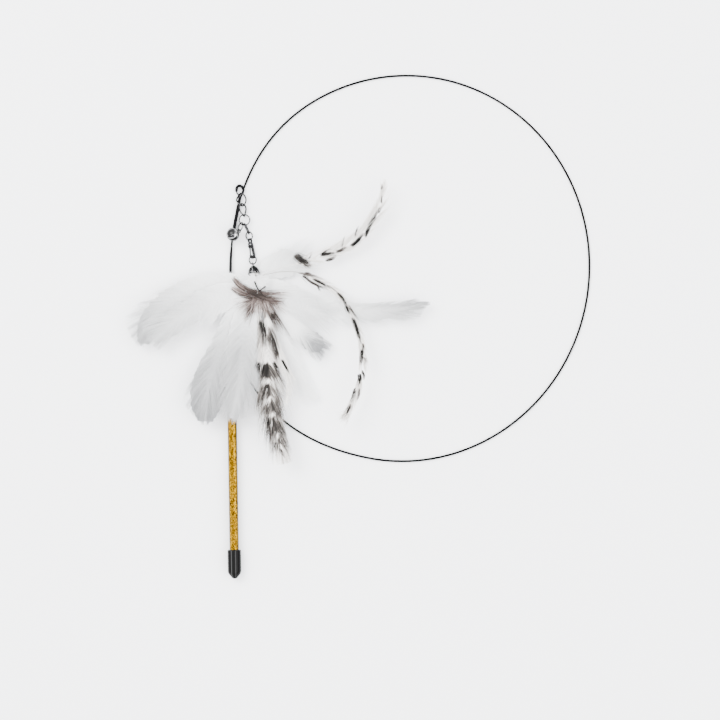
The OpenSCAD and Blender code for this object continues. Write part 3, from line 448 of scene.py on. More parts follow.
eye_route = np.vstack([from_sleeve(0.0, LEG_HALF), from_sleeve(14.0, LEG_HALF), neck(1),
                       eye(np.linspace(-EYE_OPEN, 180 + EYE_OPEN, 60)), neck(-1)[::-1],
                       from_sleeve(20.0, -LEG_HALF), from_sleeve(4 * WIRE_R, -LEG_HALF)])
wire_path = np.vstack([[0, 129, 0], [0, 134, 0], [0, TUBE_LEN, 0], out_route, back_route, stack_route, eye_route])

# The lacquer: none in the caps, under the sleeve and in the eye, full on the loop, and less where two runs lie together
y_lead, y_stack = lead[:, 1], stack_route[:, 1]
share = np.concatenate([
    [0, 0, 0], 0.6 * ease((y_lead - 158) / 12) * (1 - ease((y_lead - 238) / 6)) + ease((y_lead - 278) / 14),
    np.ones(len(out_route) - len(lead)), 1 - 0.4 * ease(u), 0.6 * (1 - ease((y_stack - 241) / 4)), np.zeros(len(eye_route))])
coat = COAT * share
piece("wire_skin", *sweep(wire_path + coat[:, None] * np.array([0, 0, 1.0]), WIRE_R + coat, 14), WIRE, "wand", ["spring_wire"], "wire_black")

# The sleeve: a section with two round ends that follows the two legs, with softly shrunk ends
s_u = np.concatenate([[-0.05, 0.0, 0.25, 0.6], np.linspace(1.5, 25.5, 24), [26.4, 26.75, 27.0, 27.05]])
k = np.linspace(0, 2 * np.pi, 40, endpoint=False)
wall = 0.20 + 0.03 * np.sin(s_u * 1.7) - 0.12 * (1 - ease(np.minimum(s_u + 0.05, 27.05 - s_u) / 0.5))
sec_x = np.sign(np.cos(k)) * LEG_HALF * (np.abs(np.cos(k)) > 1e-6) * ease(np.abs(np.cos(k)) * 3)
ring = np.stack([sec_x[None] + (WIRE_R + wall[:, None]) * np.cos(k), (WIRE_R + wall[:, None]) * np.sin(k)], -1)
sl = sleeve_low + s_u[:, None, None] * AHEAD + ring[..., :1] * RIGHT + ring[..., 1:] * np.array([0, 0, 1.0])
ends = np.repeat(sl[[0, -1]].mean(1, keepdims=True), 40, 1)
sl = np.concatenate([ends[:1], sl, ends[1:]])
piece("tip_sleeve_skin", sl.reshape(-1, 3), grid_quads(len(sl), 40, flip=True), SLEEVE, "wand", ["tip_sleeve"],
      "rubber_black")

# The eye's sleeve: a tube round the eye whose radius tapers at both ends and ripples where it has shrunk
a = np.linspace(-10.5, 190.5, 70)
edge = ease(np.minimum(a + 10.5, 190.5 - a) / 9)
piece("eye_sleeve_skin", *sweep(eye(a), 0.65 + 0.43 * edge + 0.02 * np.sin(a / 7), 20), SLEEVE, "wand", ["eye_sleeve"],
      "rubber_black")

# The chain
GAP, LINK_R, RING_R = 0.2, 0.6, 0.5


def loop_link(name, at, way, length, half_w, twist, body, node):
    """A bent wire link: an oval (w |sin a|^0.8, h cos a) turned about its length by twist/2 * y/h."""
    h = (length + GAP) / 2 + LINK_R
    a = np.linspace(0, 2 * np.pi, 96, endpoint=False)
    y, x = h * np.cos(a), half_w * np.sign(np.sin(a)) * np.abs(np.sin(a)) ** 0.8
    q = np.radians(twist / 2 * y / h)
    p = np.stack([x * np.cos(q), y - length / 2, -x * np.sin(q)], -1)
    w = placed(at, way, p)
    piece(name, *sweep(w, LINK_R, 14, True, w - placed(at, way, [0, -length / 2, 0])), NICKEL, body, [node], "nickel")


def jump_ring(name, at, way, length, cut_at, body, node):
    """A round ring of wire with a narrow cut: (R cos a, R sin a), open over 5 degrees."""
    big = (length + GAP) / 2 + RING_R
    a = np.radians(cut_at) + np.linspace(math.radians(2.5), math.radians(357.5), 90)
    p = np.stack([big * np.cos(a), big * np.sin(a) - length / 2, 0 * a], -1)
    w = placed(at, way, p)
    piece(name, *sweep(w, RING_R, 14, False, w - placed(at, way, [0, -length / 2, 0])), NICKEL, body, [node], "nickel")


loop_link("link_one_skin", TOUCH["eye_lift"], (5.6, 13, 0), 8.2, 3.5, -112, "link_one", "link_1")
loop_link("link_two_skin", TOUCH["link_swing"], (11.2, -5, 28), 8.2, 2.6, -112, "link_two", "link_2")
jump_ring("carrier_ring_skin", TOUCH["carrier_swing"], (3.4, -2, 10), 6.7, 20, "carrier_ring", "bell_carrier_ring")
loop_link("link_three_skin", TOUCH["third_link_swing"], (23.5, 0, 80), 7.0, 2.3, 0, "link_three", "link_3")
jump_ring("clasp_ring_skin", TOUCH["clasp_ring_swing"], (8.2, 0, -35), 4.8, 0, "clasp_ring", "clasp_ring")
jump_ring("charm_ring_skin", TOUCH["charm_ring_swing"], (0, 1, -28), 4.9, 180, "charm_ring", "charm_ring")
jump_ring("hook_ring_skin", TOUCH["hook_ring_swing"], (-18, 4, -60), 5.4, 0, "hook_ring", "bell_hook_ring")

# The bell: two pressed halves with a lip, a slot between two round holes, and an ear
BELL_WAY, BELL_R, BELL_WALL, EAR_R, EAR_HOLE_R = (-59, 38, 20), 4.9, 0.4, 0.4, 1.0
REACH = BELL_R + 1.5 + EAR_HOLE_R
SLOT_END = math.radians(50)


def bell_frame(co):
    """Points drawn round the bell's own centre, with its ear towards +Y."""
    return placed(TOUCH["bell_swing"], BELL_WAY, co + np.array([0, -REACH, 0]))


def bell_half(side):
    """Half a hollow ball: outer arc, seam lip and inner arc, revolved about the ear's axis."""
    a = np.radians(np.linspace(90, 4, 30))
    arc = np.stack([BELL_R * np.cos(a), BELL_R * np.sin(a)], -1)
    lip = rounded([arc[-1], (BELL_R + 0.2, 0.34), (BELL_R + 0.2, 0.02), (BELL_R - BELL_WALL, 0.02)], 0.12)
    inner = (arc * (BELL_R - BELL_WALL) / BELL_R)[::-1]
    co, q = revolve(np.vstack([arc, lip[1:], inner[1:]]), 72)
    return np.stack([co[:, 0], co[:, 2] * side, -co[:, 1] * side], -1), q


co, q = bell_half(1)
piece("bell_top_skin", bell_frame(co), q[:, ::-1], BELL, "bell", ["bell_top"], "nickel")


def cut_through(q, cut, rows, around):
    """Cuts the faces marked on the outer wall of a revolved shell and those behind them on its inner wall. Each edge
    between a cut and a kept face then becomes a face that runs through the wall."""
    half = rows // 2
    cut = cut.reshape(rows - 1, around) & (np.arange(rows - 1) < half)[:, None]
    near = np.arange(rows * around).reshape(rows, around)
    far = near[::-1]
    r, c = np.nonzero(cut[:half] != np.roll(cut[:half], -1, 1))
    k = (c + 1) % around
    along = np.stack([near[r, k], near[r + 1, k], far[r + 1, k], far[r, k]], -1)
    along = np.where(cut[r, c][:, None], along, along[:, ::-1])
    r, c = np.nonzero(cut[: half - 1] != cut[1:half])
    k = (c + 1) % around
    round_ = np.stack([near[r + 1, c], near[r + 1, k], far[r + 1, k], far[r + 1, c]], -1)
    round_ = np.where(cut[r + 1, c][:, None], round_, round_[:, ::-1])
    return np.vstack([q[~(cut | cut[::-1]).ravel()], along, round_])


co, q = bell_half(-1)
mid = co[q].mean(1)
in_slot = (np.abs(mid[:, 0]) < 0.5) & (np.arctan2(np.abs(mid[:, 2]), -mid[:, 1]) < SLOT_END)
ends = [BELL_R * np.array([0, -math.cos(SLOT_END), s * math.sin(SLOT_END)]) for s in (-1, 1)]
in_hole = np.min([np.linalg.norm(mid - e, axis=1) for e in ends], 0) < 1.05
q = cut_through(q, in_slot | in_hole, len(co) // 72, 72)
piece("bell_bottom_skin", bell_frame(co), q[:, ::-1], BELL, "bell", ["bell_bottom"], "nickel")
a = np.linspace(0, np.pi, 24)
half = EAR_HOLE_R + EAR_R
foot_y = BELL_R - 0.15
arc = np.stack([half * np.cos(a), REACH + GAP / 2 + EAR_R - half + half * np.sin(a), 0 * a], -1)
ear = np.vstack([[half, foot_y, 0], arc, [-half, foot_y, 0]])
base = along_y(revolve(rounded([(0, 0.0), (1.6, 0.0), (1.6, 0.35), (0, 0.45)], 0.15), 32), BELL_R + 0.05)
co, q = join(sweep(ear, EAR_R, 12), base)
piece("bell_ear_skin", bell_frame(co), q, NICKEL, "bell", ["bell_ear"], "nickel")

# Solids that keep their own shape and take their own material; those given a width also get a small bevel in
# millimetres
for node, mat, width in (("handle_tube", TUBE, 0), ("wire_plug", PLUG, 0), ("wire_stop", STEEL, 0), ("glue_plug", GLUE, 0),
                         ("bell_ball", STEEL, 0), ("clasp_body", CLASP, 0.28), ("clasp_lever", CLASP, 0.12),
                         ("clasp_pin", STEEL, 0.08), ("clasp_spring", STEEL, 0.05)):
    o = frame["nodes"][node]
    o.data.materials.clear()
    o.data.materials.append(mat)
    o.data.polygons.foreach_set("use_smooth", np.ones(len(o.data.polygons), bool))
    if width:
        w = o.modifiers.new("weld", "WELD")
        w.merge_threshold = 0.01 * MM
        b = o.modifiers.new("bevel", "BEVEL")
        b.width, b.segments, b.limit_method, b.angle_limit = width * MM, 3, "ANGLE", math.radians(40)
    n = o.modifiers.new("normals", "WEIGHTED_NORMAL")
    n.keep_sharp = False

# The feather cap: a flared cup with pressed ribs that deepen towards its mouth, and its loop
CAP_WAY, CAP_LEN, CROWN_R, LOOP_R = (6.4, 16, 0), 6.4, 1.6, 1.5
CROWN = GAP / 2 + EAR_R - 2 * LOOP_R
flare = np.array([[0, 0], [0.12, 0.42], [0.3, 0.7], [0.55, 0.86], [0.8, 0.95], [1, 1]])
h = np.linspace(0, 1, 28)
f = np.convolve(np.pad(np.interp(h, flare[:, 0], flare[:, 1]), 3, "edge"), np.ones(7) / 7, "valid")
outer = np.column_stack([CROWN_R + 2.8 * f, CAP_LEN * h])
inner = np.column_stack([CROWN_R - 0.4 + 2.8 * f[::-1], CAP_LEN * h[::-1]])
shell = np.vstack([[0, 0], outer, [4.35, CAP_LEN + 0.15], [4.05, CAP_LEN + 0.15], inner[:-3], [0, 0.5]])
co, q = revolve(shell, 96)
around, out_r = np.arctan2(co[:, 1], co[:, 0]), np.linalg.norm(co[:, :2], axis=1)
co[:, :2] *= (1 + 0.06 * np.cos(around * 10) * np.clip(co[:, 2] / CAP_LEN, 0, 1) * (out_r > 1))[:, None]
cup = np.stack([co[:, 0], CROWN - co[:, 2], co[:, 1]], -1)
a = np.linspace(0, 2 * np.pi, 48, endpoint=False)
hoop = np.stack([0 * a, CROWN + LOOP_R + LOOP_R * np.cos(a), LOOP_R * np.sin(a)], -1)
co, q = join((cup, q), sweep(hoop, EAR_R, 12, True, hoop - np.array([0, CROWN + LOOP_R, 0])))
piece("feather_cap_skin", placed(TOUCH["charm_swing"], CAP_WAY, co), q, NICKEL, "charm", ["feather_cap"], "nickel")

# The feathers. Places are read off the photograph in its own pixels.
PIXEL, ROLL, PAPER_X, PAPER_Y = 0.75, math.radians(0.92), 234.6, 571.0


def on_table(x, y, z=0.0):
    """A place in the photograph as millimetres on the table: scaled, and turned by the camera's roll."""
    a, b = x - PAPER_X, PAPER_Y - y
    return np.array([PIXEL * (a * math.cos(ROLL) + b * math.sin(ROLL)), PIXEL * (b * math.cos(ROLL) - a * math.sin(ROLL)), z])


def spline(points, n=400):
    """A smooth curve through points: cubic Hermite pieces with neighbour-difference slopes, spaced evenly by length."""
    p = np.asarray(points, float)
    d = np.concatenate([[0], np.cumsum(np.linalg.norm(np.diff(p, axis=0), axis=1))])
    m = np.gradient(p, d, axis=0)
    s = np.linspace(0, d[-1], n)
    i = np.clip(np.searchsorted(d, s, "right") - 1, 0, len(d) - 2)
    h = (d[i + 1] - d[i])[:, None]
    t = ((s - d[i]) / h[:, 0])[:, None]
    c = ((2 * t**3 - 3 * t**2 + 1) * p[i] + (t**3 - 2 * t**2 + t) * h * m[i]
         + (3 * t**2 - 2 * t**3) * p[i + 1] + (t**3 - t**2) * h * m[i + 1])
    e = np.concatenate([[0], np.cumsum(np.linalg.norm(np.diff(c, axis=0), axis=1))])
    g = np.linspace(0, e[-1], n)
    return np.column_stack([np.interp(g, e, c[:, k]) for k in range(3)]), e[-1]


def with_height(points, z0, z1):
    """Photograph points with a height in millimetres that rises evenly along them."""
    p = np.array([on_table(*q) for q in points])
    d = np.concatenate([[0], np.cumsum(np.linalg.norm(np.diff(p, axis=0), axis=1))])
    p[:, 2] = z0 + (z1 - z0) * d / d[-1]
    return p


def sides_of(path):
    """Directions along, to the left and up, at each point of a path that lies nearly level."""
    tan = directions(path)
    left = np.cross([0, 0, 1.0], tan)
    left /= np.linalg.norm(left, axis=1, keepdims=True)
    return tan, left, np.cross(tan, left)


def shaft(path, r0, r1, tone):
    """A quill: a thin tube along the path whose radius falls evenly from r0 to r1."""
    p = path[:: max(len(path) // 60, 1)]
    co, q = sweep(p, np.linspace(r0, r1, len(p)), 6)
    return co, q, np.full(len(co), tone)


def streaks(s, seed, pitch):
    """Smooth random numbers about 0, one for each pitch of length s."""
    r = np.random.default_rng(seed).normal(0, 1, 4000)
    return np.interp(s / pitch + 50, np.arange(4000), r)


def vane(path, length, t_w, w_left, w_right, shade, seed, thick=0.4, slope=1.3, fill=0.9, rows=150, cols=15, start=0.02):
    """The closed web of a feather: a thin lens. At share t along the path and u from -1 to 1 across, it stands at
    path + u w(t) left, raised or lowered by thick sqrt(1 - u^2), with grooves that run out and forward from the quill
    by slope. Its edge is ragged along the same grooves."""
    t = np.linspace(start, 1, rows)
    k = t * (len(path) - 1)
    p = np.stack([np.interp(k, np.arange(len(path)), path[:, c]) for c in range(3)], -1)
    _, left, up = sides_of(p)
    u = np.sin(np.linspace(-np.pi / 2, np.pi / 2, cols))
    half = np.where(u > 0, np.interp(t, t_w, w_left)[:, None], np.interp(t, t_w, w_right)[:, None]) * fill
    s = t[:, None] * length - np.abs(u) * half * slope
    ragged = 1 + 0.06 * streaks(s, seed, 1.6) * np.abs(u) ** 3
    flat = p[:, None] + (u * half * ragged)[..., None] * left[:, None]
    dome = thick * np.sqrt(np.clip(1 - u**2, 0, 1)) * np.minimum(1, half / 3)
    groove = 0.07 * streaks(s, seed + 1, 0.8) * (1 - np.abs(u) ** 4)
    top, low = flat + (dome + groove)[..., None] * up[:, None], flat - (dome * 0.5)[..., None] * up[:, None]
    ring = np.concatenate([top, low[:, -2:0:-1]], 1)
    cap = np.repeat(ring[[0, -1]].mean(1, keepdims=True), ring.shape[1], 1)
    co = np.concatenate([cap[:1], ring, cap[1:]])
    grey = np.clip(1 - shade(t[:, None], u) + 0.035 * streaks(s, seed + 2, 1.1), 0, 1)
    tone = np.concatenate([grey, grey[:, -2:0:-1]], 1)
    tone = np.concatenate([tone[:1], tone, tone[-1:]])
    return co.reshape(-1, 3), grid_quads(rows + 2, ring.shape[1], flip=True), tone.ravel()


def barbs(path, t, side, length, angle, curl, width, tone, seed, segs=8, wave=0.0, lift=0.0, roll=0.35):
    """Barbs as thin ribbons. A barb leaves the path at t, turned by angle to one side, and bends towards the path's
    direction by the share curl over its length; wave adds a slow sideways sine, lift a rise. The ribbon is width wide,
    thinning to a fifth at its tip, and rolled a little. tone(v) greys it, v being the share along it."""
    r = np.random.default_rng(seed)
    n = len(t)
    k = np.clip(t, 0, 1) * (len(path) - 1)
    i = np.clip(k.astype(int), 0, len(path) - 2)
    f = (k - i)[:, None]
    tan, _, _ = sides_of(path)
    base = path[i] * (1 - f) + path[i + 1] * f
    tan = tan[i] * (1 - f) + tan[i + 1] * f
    tan /= np.linalg.norm(tan, axis=1, keepdims=True)
    left = np.cross([0, 0, 1.0], tan)
    left /= np.linalg.norm(left, axis=1, keepdims=True)
    up = np.cross(tan, left)
    v = np.linspace(0, 1, segs + 1)
    phase, freq = r.uniform(0, 2 * np.pi, (n, 1)), r.uniform(1.0, 2.6, (n, 1))
    a = angle[:, None] * (1 - curl * v[None]) + wave * np.sin(2 * np.pi * freq * v[None] + phase) * v[None]
    rise = np.broadcast_to(np.asarray(lift, float), (n,))[:, None] * (1 - 1.5 * v[None])
    d = (np.cos(a)[..., None] * tan[:, None] + (side[:, None] * np.sin(a))[..., None] * left[:, None]
         + rise[..., None] * up[:, None])
    d /= np.linalg.norm(d, axis=2, keepdims=True)
    step = (length / segs)[:, None, None]
    p = base[:, None] + np.concatenate([np.zeros((n, 1, 3)), np.cumsum(d[:, :-1] * step, 1)], 1)
    flat = np.cross(up[:, None], d)
    flat /= np.linalg.norm(flat, axis=2, keepdims=True)
    q = r.normal(0, roll, (n, 1, 1))
    across = np.cos(q) * flat + np.sin(q) * up[:, None]
    w = np.broadcast_to(np.asarray(width, float), (n,))[:, None] * (1 - 0.8 * v[None] ** 1.5) / 2
    co = np.stack([p - w[..., None] * across, p + w[..., None] * across], 2)
    first = np.arange(n)[:, None] * (segs + 1) * 2 + np.arange(segs)[None] * 2
    quads = np.stack([first, first + 1, first + 3, first + 2], -1).reshape(-1, 4)
    grey = np.clip(np.broadcast_to(tone(v[None]), (n, segs + 1)), 0, 1)
    return co.reshape(-1, 3), quads, np.repeat(grey.ravel(), 2)


def feather(name, parts, mat, slot, node=None, body="charm"):
    """Joins webs, barbs and quills, each (points, faces, tone), to one piece."""
    co, q = join(*[(c, f) for c, f, _ in parts])
    return piece(name, co, q, mat, body, [node] if node else [], slot, np.concatenate([t for _, _, t in parts]))


def spread(n, lo, hi, r):
    """n places from lo to hi, evenly spaced with a little jitter."""
    return np.clip(lo + (hi - lo) * (np.arange(n) + r.uniform(0, 1, n)) / n, 0, 1)


def clumped(t, size, r, amount):
    """A random number per clump of neighbouring barbs, times amount."""
    c = np.floor(t / size).astype(int)
    return r.normal(0, amount, c.max() + 2)[c]


def plume(name, node, points, z0, z1, t_w, w_left, w_right, shade, seed, density=5.5, quill=0.3, reach=0.92,
          angle0=58, angle1=22, loose=1.0, fill=0.88):
    """A white plume. Half widths in millimetres to the left and right stand at shares t_w along the path. Under the
    barbs lies a closed web. The quill ends at reach of the path, and the last barbs carry on past it. shade(t, u) greys
    the feather, u being the share across."""
    r = np.random.default_rng(seed)
    full, length = spline(with_height(points, z0, z1))
    path = full[: int(len(full) * reach)]
    parts = [vane(full, length, t_w, w_left, w_right, shade, seed, fill=fill)]
    for side, w in ((1.0, w_left), (-1.0, w_right)):
        n = int(length * density)
        t = spread(n, 0.03, 1.0, r)
        half = np.interp(t * reach, t_w, w)
        ang = np.radians(np.interp(t, [0, 0.6, 1], [angle0, (angle0 + angle1) / 2, angle1 * 0.4]))
        ang = ang + clumped(t, 0.03, r, 0.07) + r.normal(0, 0.04, n)
        ln = half / np.maximum(np.sin(ang * 0.72), 0.22) * r.uniform(0.86, 1.06, n)
        ln = np.minimum(ln, np.interp(t, [0, 0.7, 1], [60, 34, (1 - reach) * length + 3]))
        grain = clumped(t, 0.012, r, 0.04)[:, None] + r.normal(0, 0.035, (n, 1))
        parts.append(barbs(path, t, np.full(n, side), ln, ang, 0.45, 0.26,
                           lambda v: 1 - shade(t[:, None] * reach + 0.1 * v, v) + grain, seed + 1, 9, 0.05,
                           r.normal(0.04, 0.04, n), 0.25))
        m = int(n * 0.5 * loose)
        t2 = spread(m, 0.02, 1.0, r)
        half = np.interp(t2 * reach, t_w, w)
        ang = np.radians(np.interp(t2, [0, 1], [angle0 + 12, angle1 * 0.6])) + r.normal(0, 0.16, m) + clumped(t2, 0.05, r, 0.1)
        ln = (half + 1.5) / np.maximum(np.sin(ang * 0.8), 0.3) * r.uniform(0.75, 1.12, m)
        ln = np.minimum(ln, np.interp(t2, [0, 0.7, 1], [60, 36, (1 - reach) * length + 5]))
        soft = r.normal(0, 0.04, (m, 1))
        parts.append(barbs(path, t2, np.full(m, side), ln, ang, 0.35, 0.1,
                           lambda v: 1 - 0.8 * shade(t2[:, None] * reach, v) + soft, seed + 2, 10, 0.28,
                           r.normal(0.05, 0.08, m), 0.8))
    parts.append(shaft(path, quill, 0.08, 0.85))
    return feather(name, parts, WHITE, "feather_white", node)


def tipped(t0, amount, middle=0.0):
    """Shade that grows from t0 to the tip, with a greyer middle where asked."""
    return lambda t, u: (amount * ease((t - t0) / (1 - t0)) * (0.8 + 0.2 * np.abs(u))
                         + middle * np.exp(-((t - 0.5) / 0.25) ** 2) * (1 - 0.5 * np.abs(u)))


plume("plume_left_upper", "left_upper_plume", [(250, 277), (228, 277), (204, 284), (180, 296), (160, 311), (146, 330), (143, 343)],
      0.15, 5.4, [0, 0.1, 0.25, 0.45, 0.65, 0.85, 1], [0, 7, 13, 15, 15, 14, 6], [0, 2, 6, 10, 11, 9, 4], tipped(0.35, 0.8, 0.1), 11)
plume("plume_left_lower", "left_lower_plume", [(250, 280), (226, 293), (200, 307), (175, 323), (155, 341)], 1.4, 8.2,
      [0, 0.1, 0.25, 0.4, 0.6, 0.8, 1], [0, 9, 15, 13, 10, 9, 4], [0, 4, 10, 12, 12, 10, 4], tipped(0.3, 0.5, 0.2), 23)
plume("plume_handle", "handle_plume", [(251, 281), (238, 305), (226, 337), (215, 366), (208, 392), (206, 421)], 0.6, 9.2,
      [0, 0.12, 0.3, 0.5, 0.65, 0.8, 0.92, 1], [0, 5, 8, 11, 14, 14.5, 12, 6], [0, 4, 8, 10, 13.5, 14.5, 12, 6],
      tipped(0.2, 0.95, 0.35), 37)
plume("plume_middle", "middle_plume", [(253, 282), (249, 310), (245, 345), (241, 380), (232, 418)], 1.6, 10.6,
      [0, 0.12, 0.3, 0.5, 0.7, 0.88, 1], [0, 7, 12, 11.5, 9, 8, 5], [0, 8, 14, 14, 14, 9, 2], tipped(0.2, 0.65, 0.45), 41)
plume("plume_under", "under_plume", [(257, 281), (270, 310), (285, 345), (300, 378), (312, 398)], -1.9, 0.2,
      [0, 0.2, 0.5, 0.8, 1], [0, 4, 7, 7, 3], [0, 4, 7, 7, 3], tipped(0.6, 0.02), 53, density=4, fill=0.6)
plume("plume_short_right", "short_right_plume", [(258, 281), (275, 303), (296, 328), (322, 349)], -0.5, 1.6,
      [0, 0.2, 0.5, 0.8, 0.93, 1], [0, 5, 7, 8, 8, 4], [0, 5, 7, 8, 8, 4], tipped(0.62, 1.5), 67)
plume("plume_fold_right", "fold_right_plume", [(259, 280), (280, 292), (303, 306), (325, 317)], 0.4, 3.9,
      [0, 0.2, 0.5, 0.8, 1], [0, 9, 12, 10, 4], [0, 8, 11, 9, 4], tipped(0.3, 0.35, 0.15), 71)
plume("plume_long_right", "long_right_plume", [(258, 278), (280, 288), (310, 302), (350, 311), (390, 310), (427, 303)], -0.9, 3.5,
      [0, 0.15, 0.35, 0.6, 0.76, 0.85, 1], [0, 5, 8, 7, 6, 3, 1], [0, 5, 9, 7, 7.5, 4, 1], tipped(0.35, 0.75), 83,
      reach=0.97, angle0=45, angle1=14, loose=0.4)
plume("plume_upper", "upper_plume", [(257, 276), (272, 268), (286, 263), (298, 260)], -2.5, -1.5,
      [0, 0.2, 0.5, 0.8, 1], [0, 8, 12, 12, 6], [0, 8, 12, 12, 5], tipped(0.1, 0.3), 97)


def band(s, bars, soft=1.2):
    """1 inside the bars and 0 outside, with soft edges. Each bar is (start, end, strength) in millimetres."""
    out = np.zeros_like(s)
    for a, b, k in bars:
        out = np.maximum(out, k * ease((s - a + soft) / (2 * soft)) * ease((b - s + soft) / (2 * soft)))
    return out


def hackle(name, node, points, z0, z1, t_w, w_left, w_right, bars_left, bars_right, seed, density=5.0, along=0.35,
           angle0=38, angle1=14, root=0.2, pale=0.95, gaps=0.0, jitter=0.9, quill=0.5, wide=0.24, fill=0.0):
    """A barred feather. Bars are places along the path in millimetres. along is how far the bars follow the barbs. The
    first root share of the path is bare quill. gaps opens the vane by dropping whole clumps of barbs, and jitter shifts
    the bars from clump to clump. fill is the share of the width that a closed web fills under the barbs."""
    r = np.random.default_rng(seed)
    path, length = spline(with_height(points, z0, z1))
    parts = [shaft(path, 0.3, 0.07, quill)]

    def web(t, u):
        half = np.where(u > 0, np.interp(t, t_w, w_left), np.interp(t, t_w, w_right))
        s = t * length - (1 - along) * 1.9 * np.abs(u) * half
        return 1 - pale * (1 - np.where(u > 0, band(s, bars_left), band(s, bars_right)))

    if fill:
        parts.append(vane(path, length, t_w, w_left, w_right, web, seed + 7, 0.25, 1.9, fill, 220, 15, root + 0.06))
    for side, w, bars in ((1.0, w_left, bars_left), (-1.0, w_right, bars_right)):
        for layer, (count, wid, wave, extra) in enumerate(((density, wide, 0.03, 1.0), (density * 0.45, wide / 2, 0.12, 1.3))):
            t = spread(int(length * count), root, 0.985, r)
            if gaps:
                t = t[clumped(t, 0.02, np.random.default_rng(seed + 5), 1.0) > -1.2 + 1.6 * gaps]
            n = len(t)
            half = np.interp(t, t_w, w) * extra
            ang = np.radians(np.interp(t, [root, 0.7, 1], [angle0, (angle0 + angle1) / 2, angle1]))
            ang = ang + clumped(t, 0.018, r, 0.09) + r.normal(0, 0.04, n)
            ln = half / np.maximum(np.sin(ang * 0.75), 0.15) * r.uniform(0.72, 1.12, n)
            ln = np.minimum(ln, (1.02 - t) * length + 3.0)
            shift = clumped(t, 0.02, r, jitter) + r.normal(0, 0.35, n)
            weight = 1 + clumped(t, 0.02, r, 0.25) + r.normal(0, 0.15, n)
            grain = r.normal(0, 0.07, (n, 1))

            def tone(v):
                s = t[:, None] * length + along * v * (ln * np.cos(ang))[:, None] + shift[:, None]
                dark = np.clip(band(s, bars) * weight[:, None], 0, 1) * (1 - 0.35 * v**3)
                return pale * (1 - dark) + grain

            parts.append(barbs(path, t, np.full(n, side), ln, ang, 0.4, wid, tone, seed + layer, 8, wave,
                               r.normal(0.0, 0.05, n), 0.3))
    return feather(name, parts, BARRED, "feather_barred", node)


def by_row(points, rows):
    """Bars given as photograph rows (y from, y to, strength), as places along a path through points."""
    path, length = spline(with_height(points, 0, 0))
    y = PAPER_Y - (path[:, 1] * math.cos(ROLL) + path[:, 0] * math.sin(ROLL)) / PIXEL
    s = np.linspace(0, length, len(path))
    order = np.argsort(y)
    return [(float(np.interp(a, y[order], s[order])), float(np.interp(b, y[order], s[order])), k) for a, b, k in rows]


def lock(path, n, base, fan, tones, width, seed, frizz=0.4, contrast=0.25):
    """A lock of hairs: each keeps to one side of a smooth path, about base millimetres off it at its start and fan
    more at its end, and waves by frizz. It covers between a half and the whole of the length. tones are the greys at
    its start, middle and end, and contrast parts dark hairs from pale ones."""
    r = np.random.default_rng(seed)
    tan, left, up = sides_of(path)
    last = len(path) - 1
    v = np.linspace(0, 1, 13)
    k = np.clip(r.uniform(0, 0.15, (n, 1)) + r.uniform(0.5, 0.9, (n, 1)) * v[None], 0, 0.999) * last
    i = k.astype(int)
    f = (k - i)[..., None]
    own = r.normal(0, 1, (n, 1))
    off = own * base + (own * 0.35 + r.normal(0, 0.5, (n, 1))) * fan * v[None]
    off = off + frizz * np.sin(2 * np.pi * (r.uniform(0.8, 2, (n, 1)) * v[None] + r.uniform(0, 1, (n, 1)))) * v[None]
    high = r.normal(0, 0.25, (n, 1)) + r.normal(0, 0.3, (n, 1)) * v[None] * min(fan, 3)
    p = path[i] * (1 - f) + path[i + 1] * f + off[..., None] * left[i] + high[..., None] * up[i]
    w = width * r.uniform(0.6, 1.3, (n, 1)) * (1 - 0.8 * v[None] ** 2) * np.minimum(1, 0.3 + 5 * v[None]) / 2
    q = r.normal(0, 0.6, (n, 1, 1))
    across = np.cos(q) * left[i] + np.sin(q) * up[i]
    co = np.stack([p - w[..., None] * across, p + w[..., None] * across], 2)
    first = np.arange(n)[:, None] * 26 + np.arange(12)[None] * 2
    quads = np.stack([first, first + 1, first + 3, first + 2], -1).reshape(-1, 4)
    grey = np.interp(v, [0, 0.5, 1], tones)[None] + contrast * r.choice([-1.0, 1.0], (n, 1)) * r.uniform(0.3, 1, (n, 1))
    return co.reshape(-1, 3), quads, np.repeat(np.clip(grey, 0, 1).ravel(), 2)


def beside(points, spine, z0, z1, over=0.3):
    """A smooth path through photograph points that lies over millimetres above the spine next to it."""
    path, _ = spline(with_height(spine, z0, z1))
    p, _ = spline(with_height(points, 0, 0), 60)
    near = np.argmin(np.linalg.norm(p[:, None, :2] - path[None, :, :2], axis=2), axis=1)
    p[:, 2] = path[near, 2] + over
    return p


def dashes(name, rows, spine, z0, z1, seed, over=0.3):
    """The dark dashes of a feather, each a lock of (points, hairs, base, fan, tones, width) along its spine."""
    feather(name, [lock(beside(p, spine, z0, z1, over), n + n // 3, base * 1.15, fan, tones, width * 1.15, seed + j, 0.15, 0.15)
                   for j, (p, n, base, fan, tones, width) in enumerate(rows)], BARRED, "feather_barred")


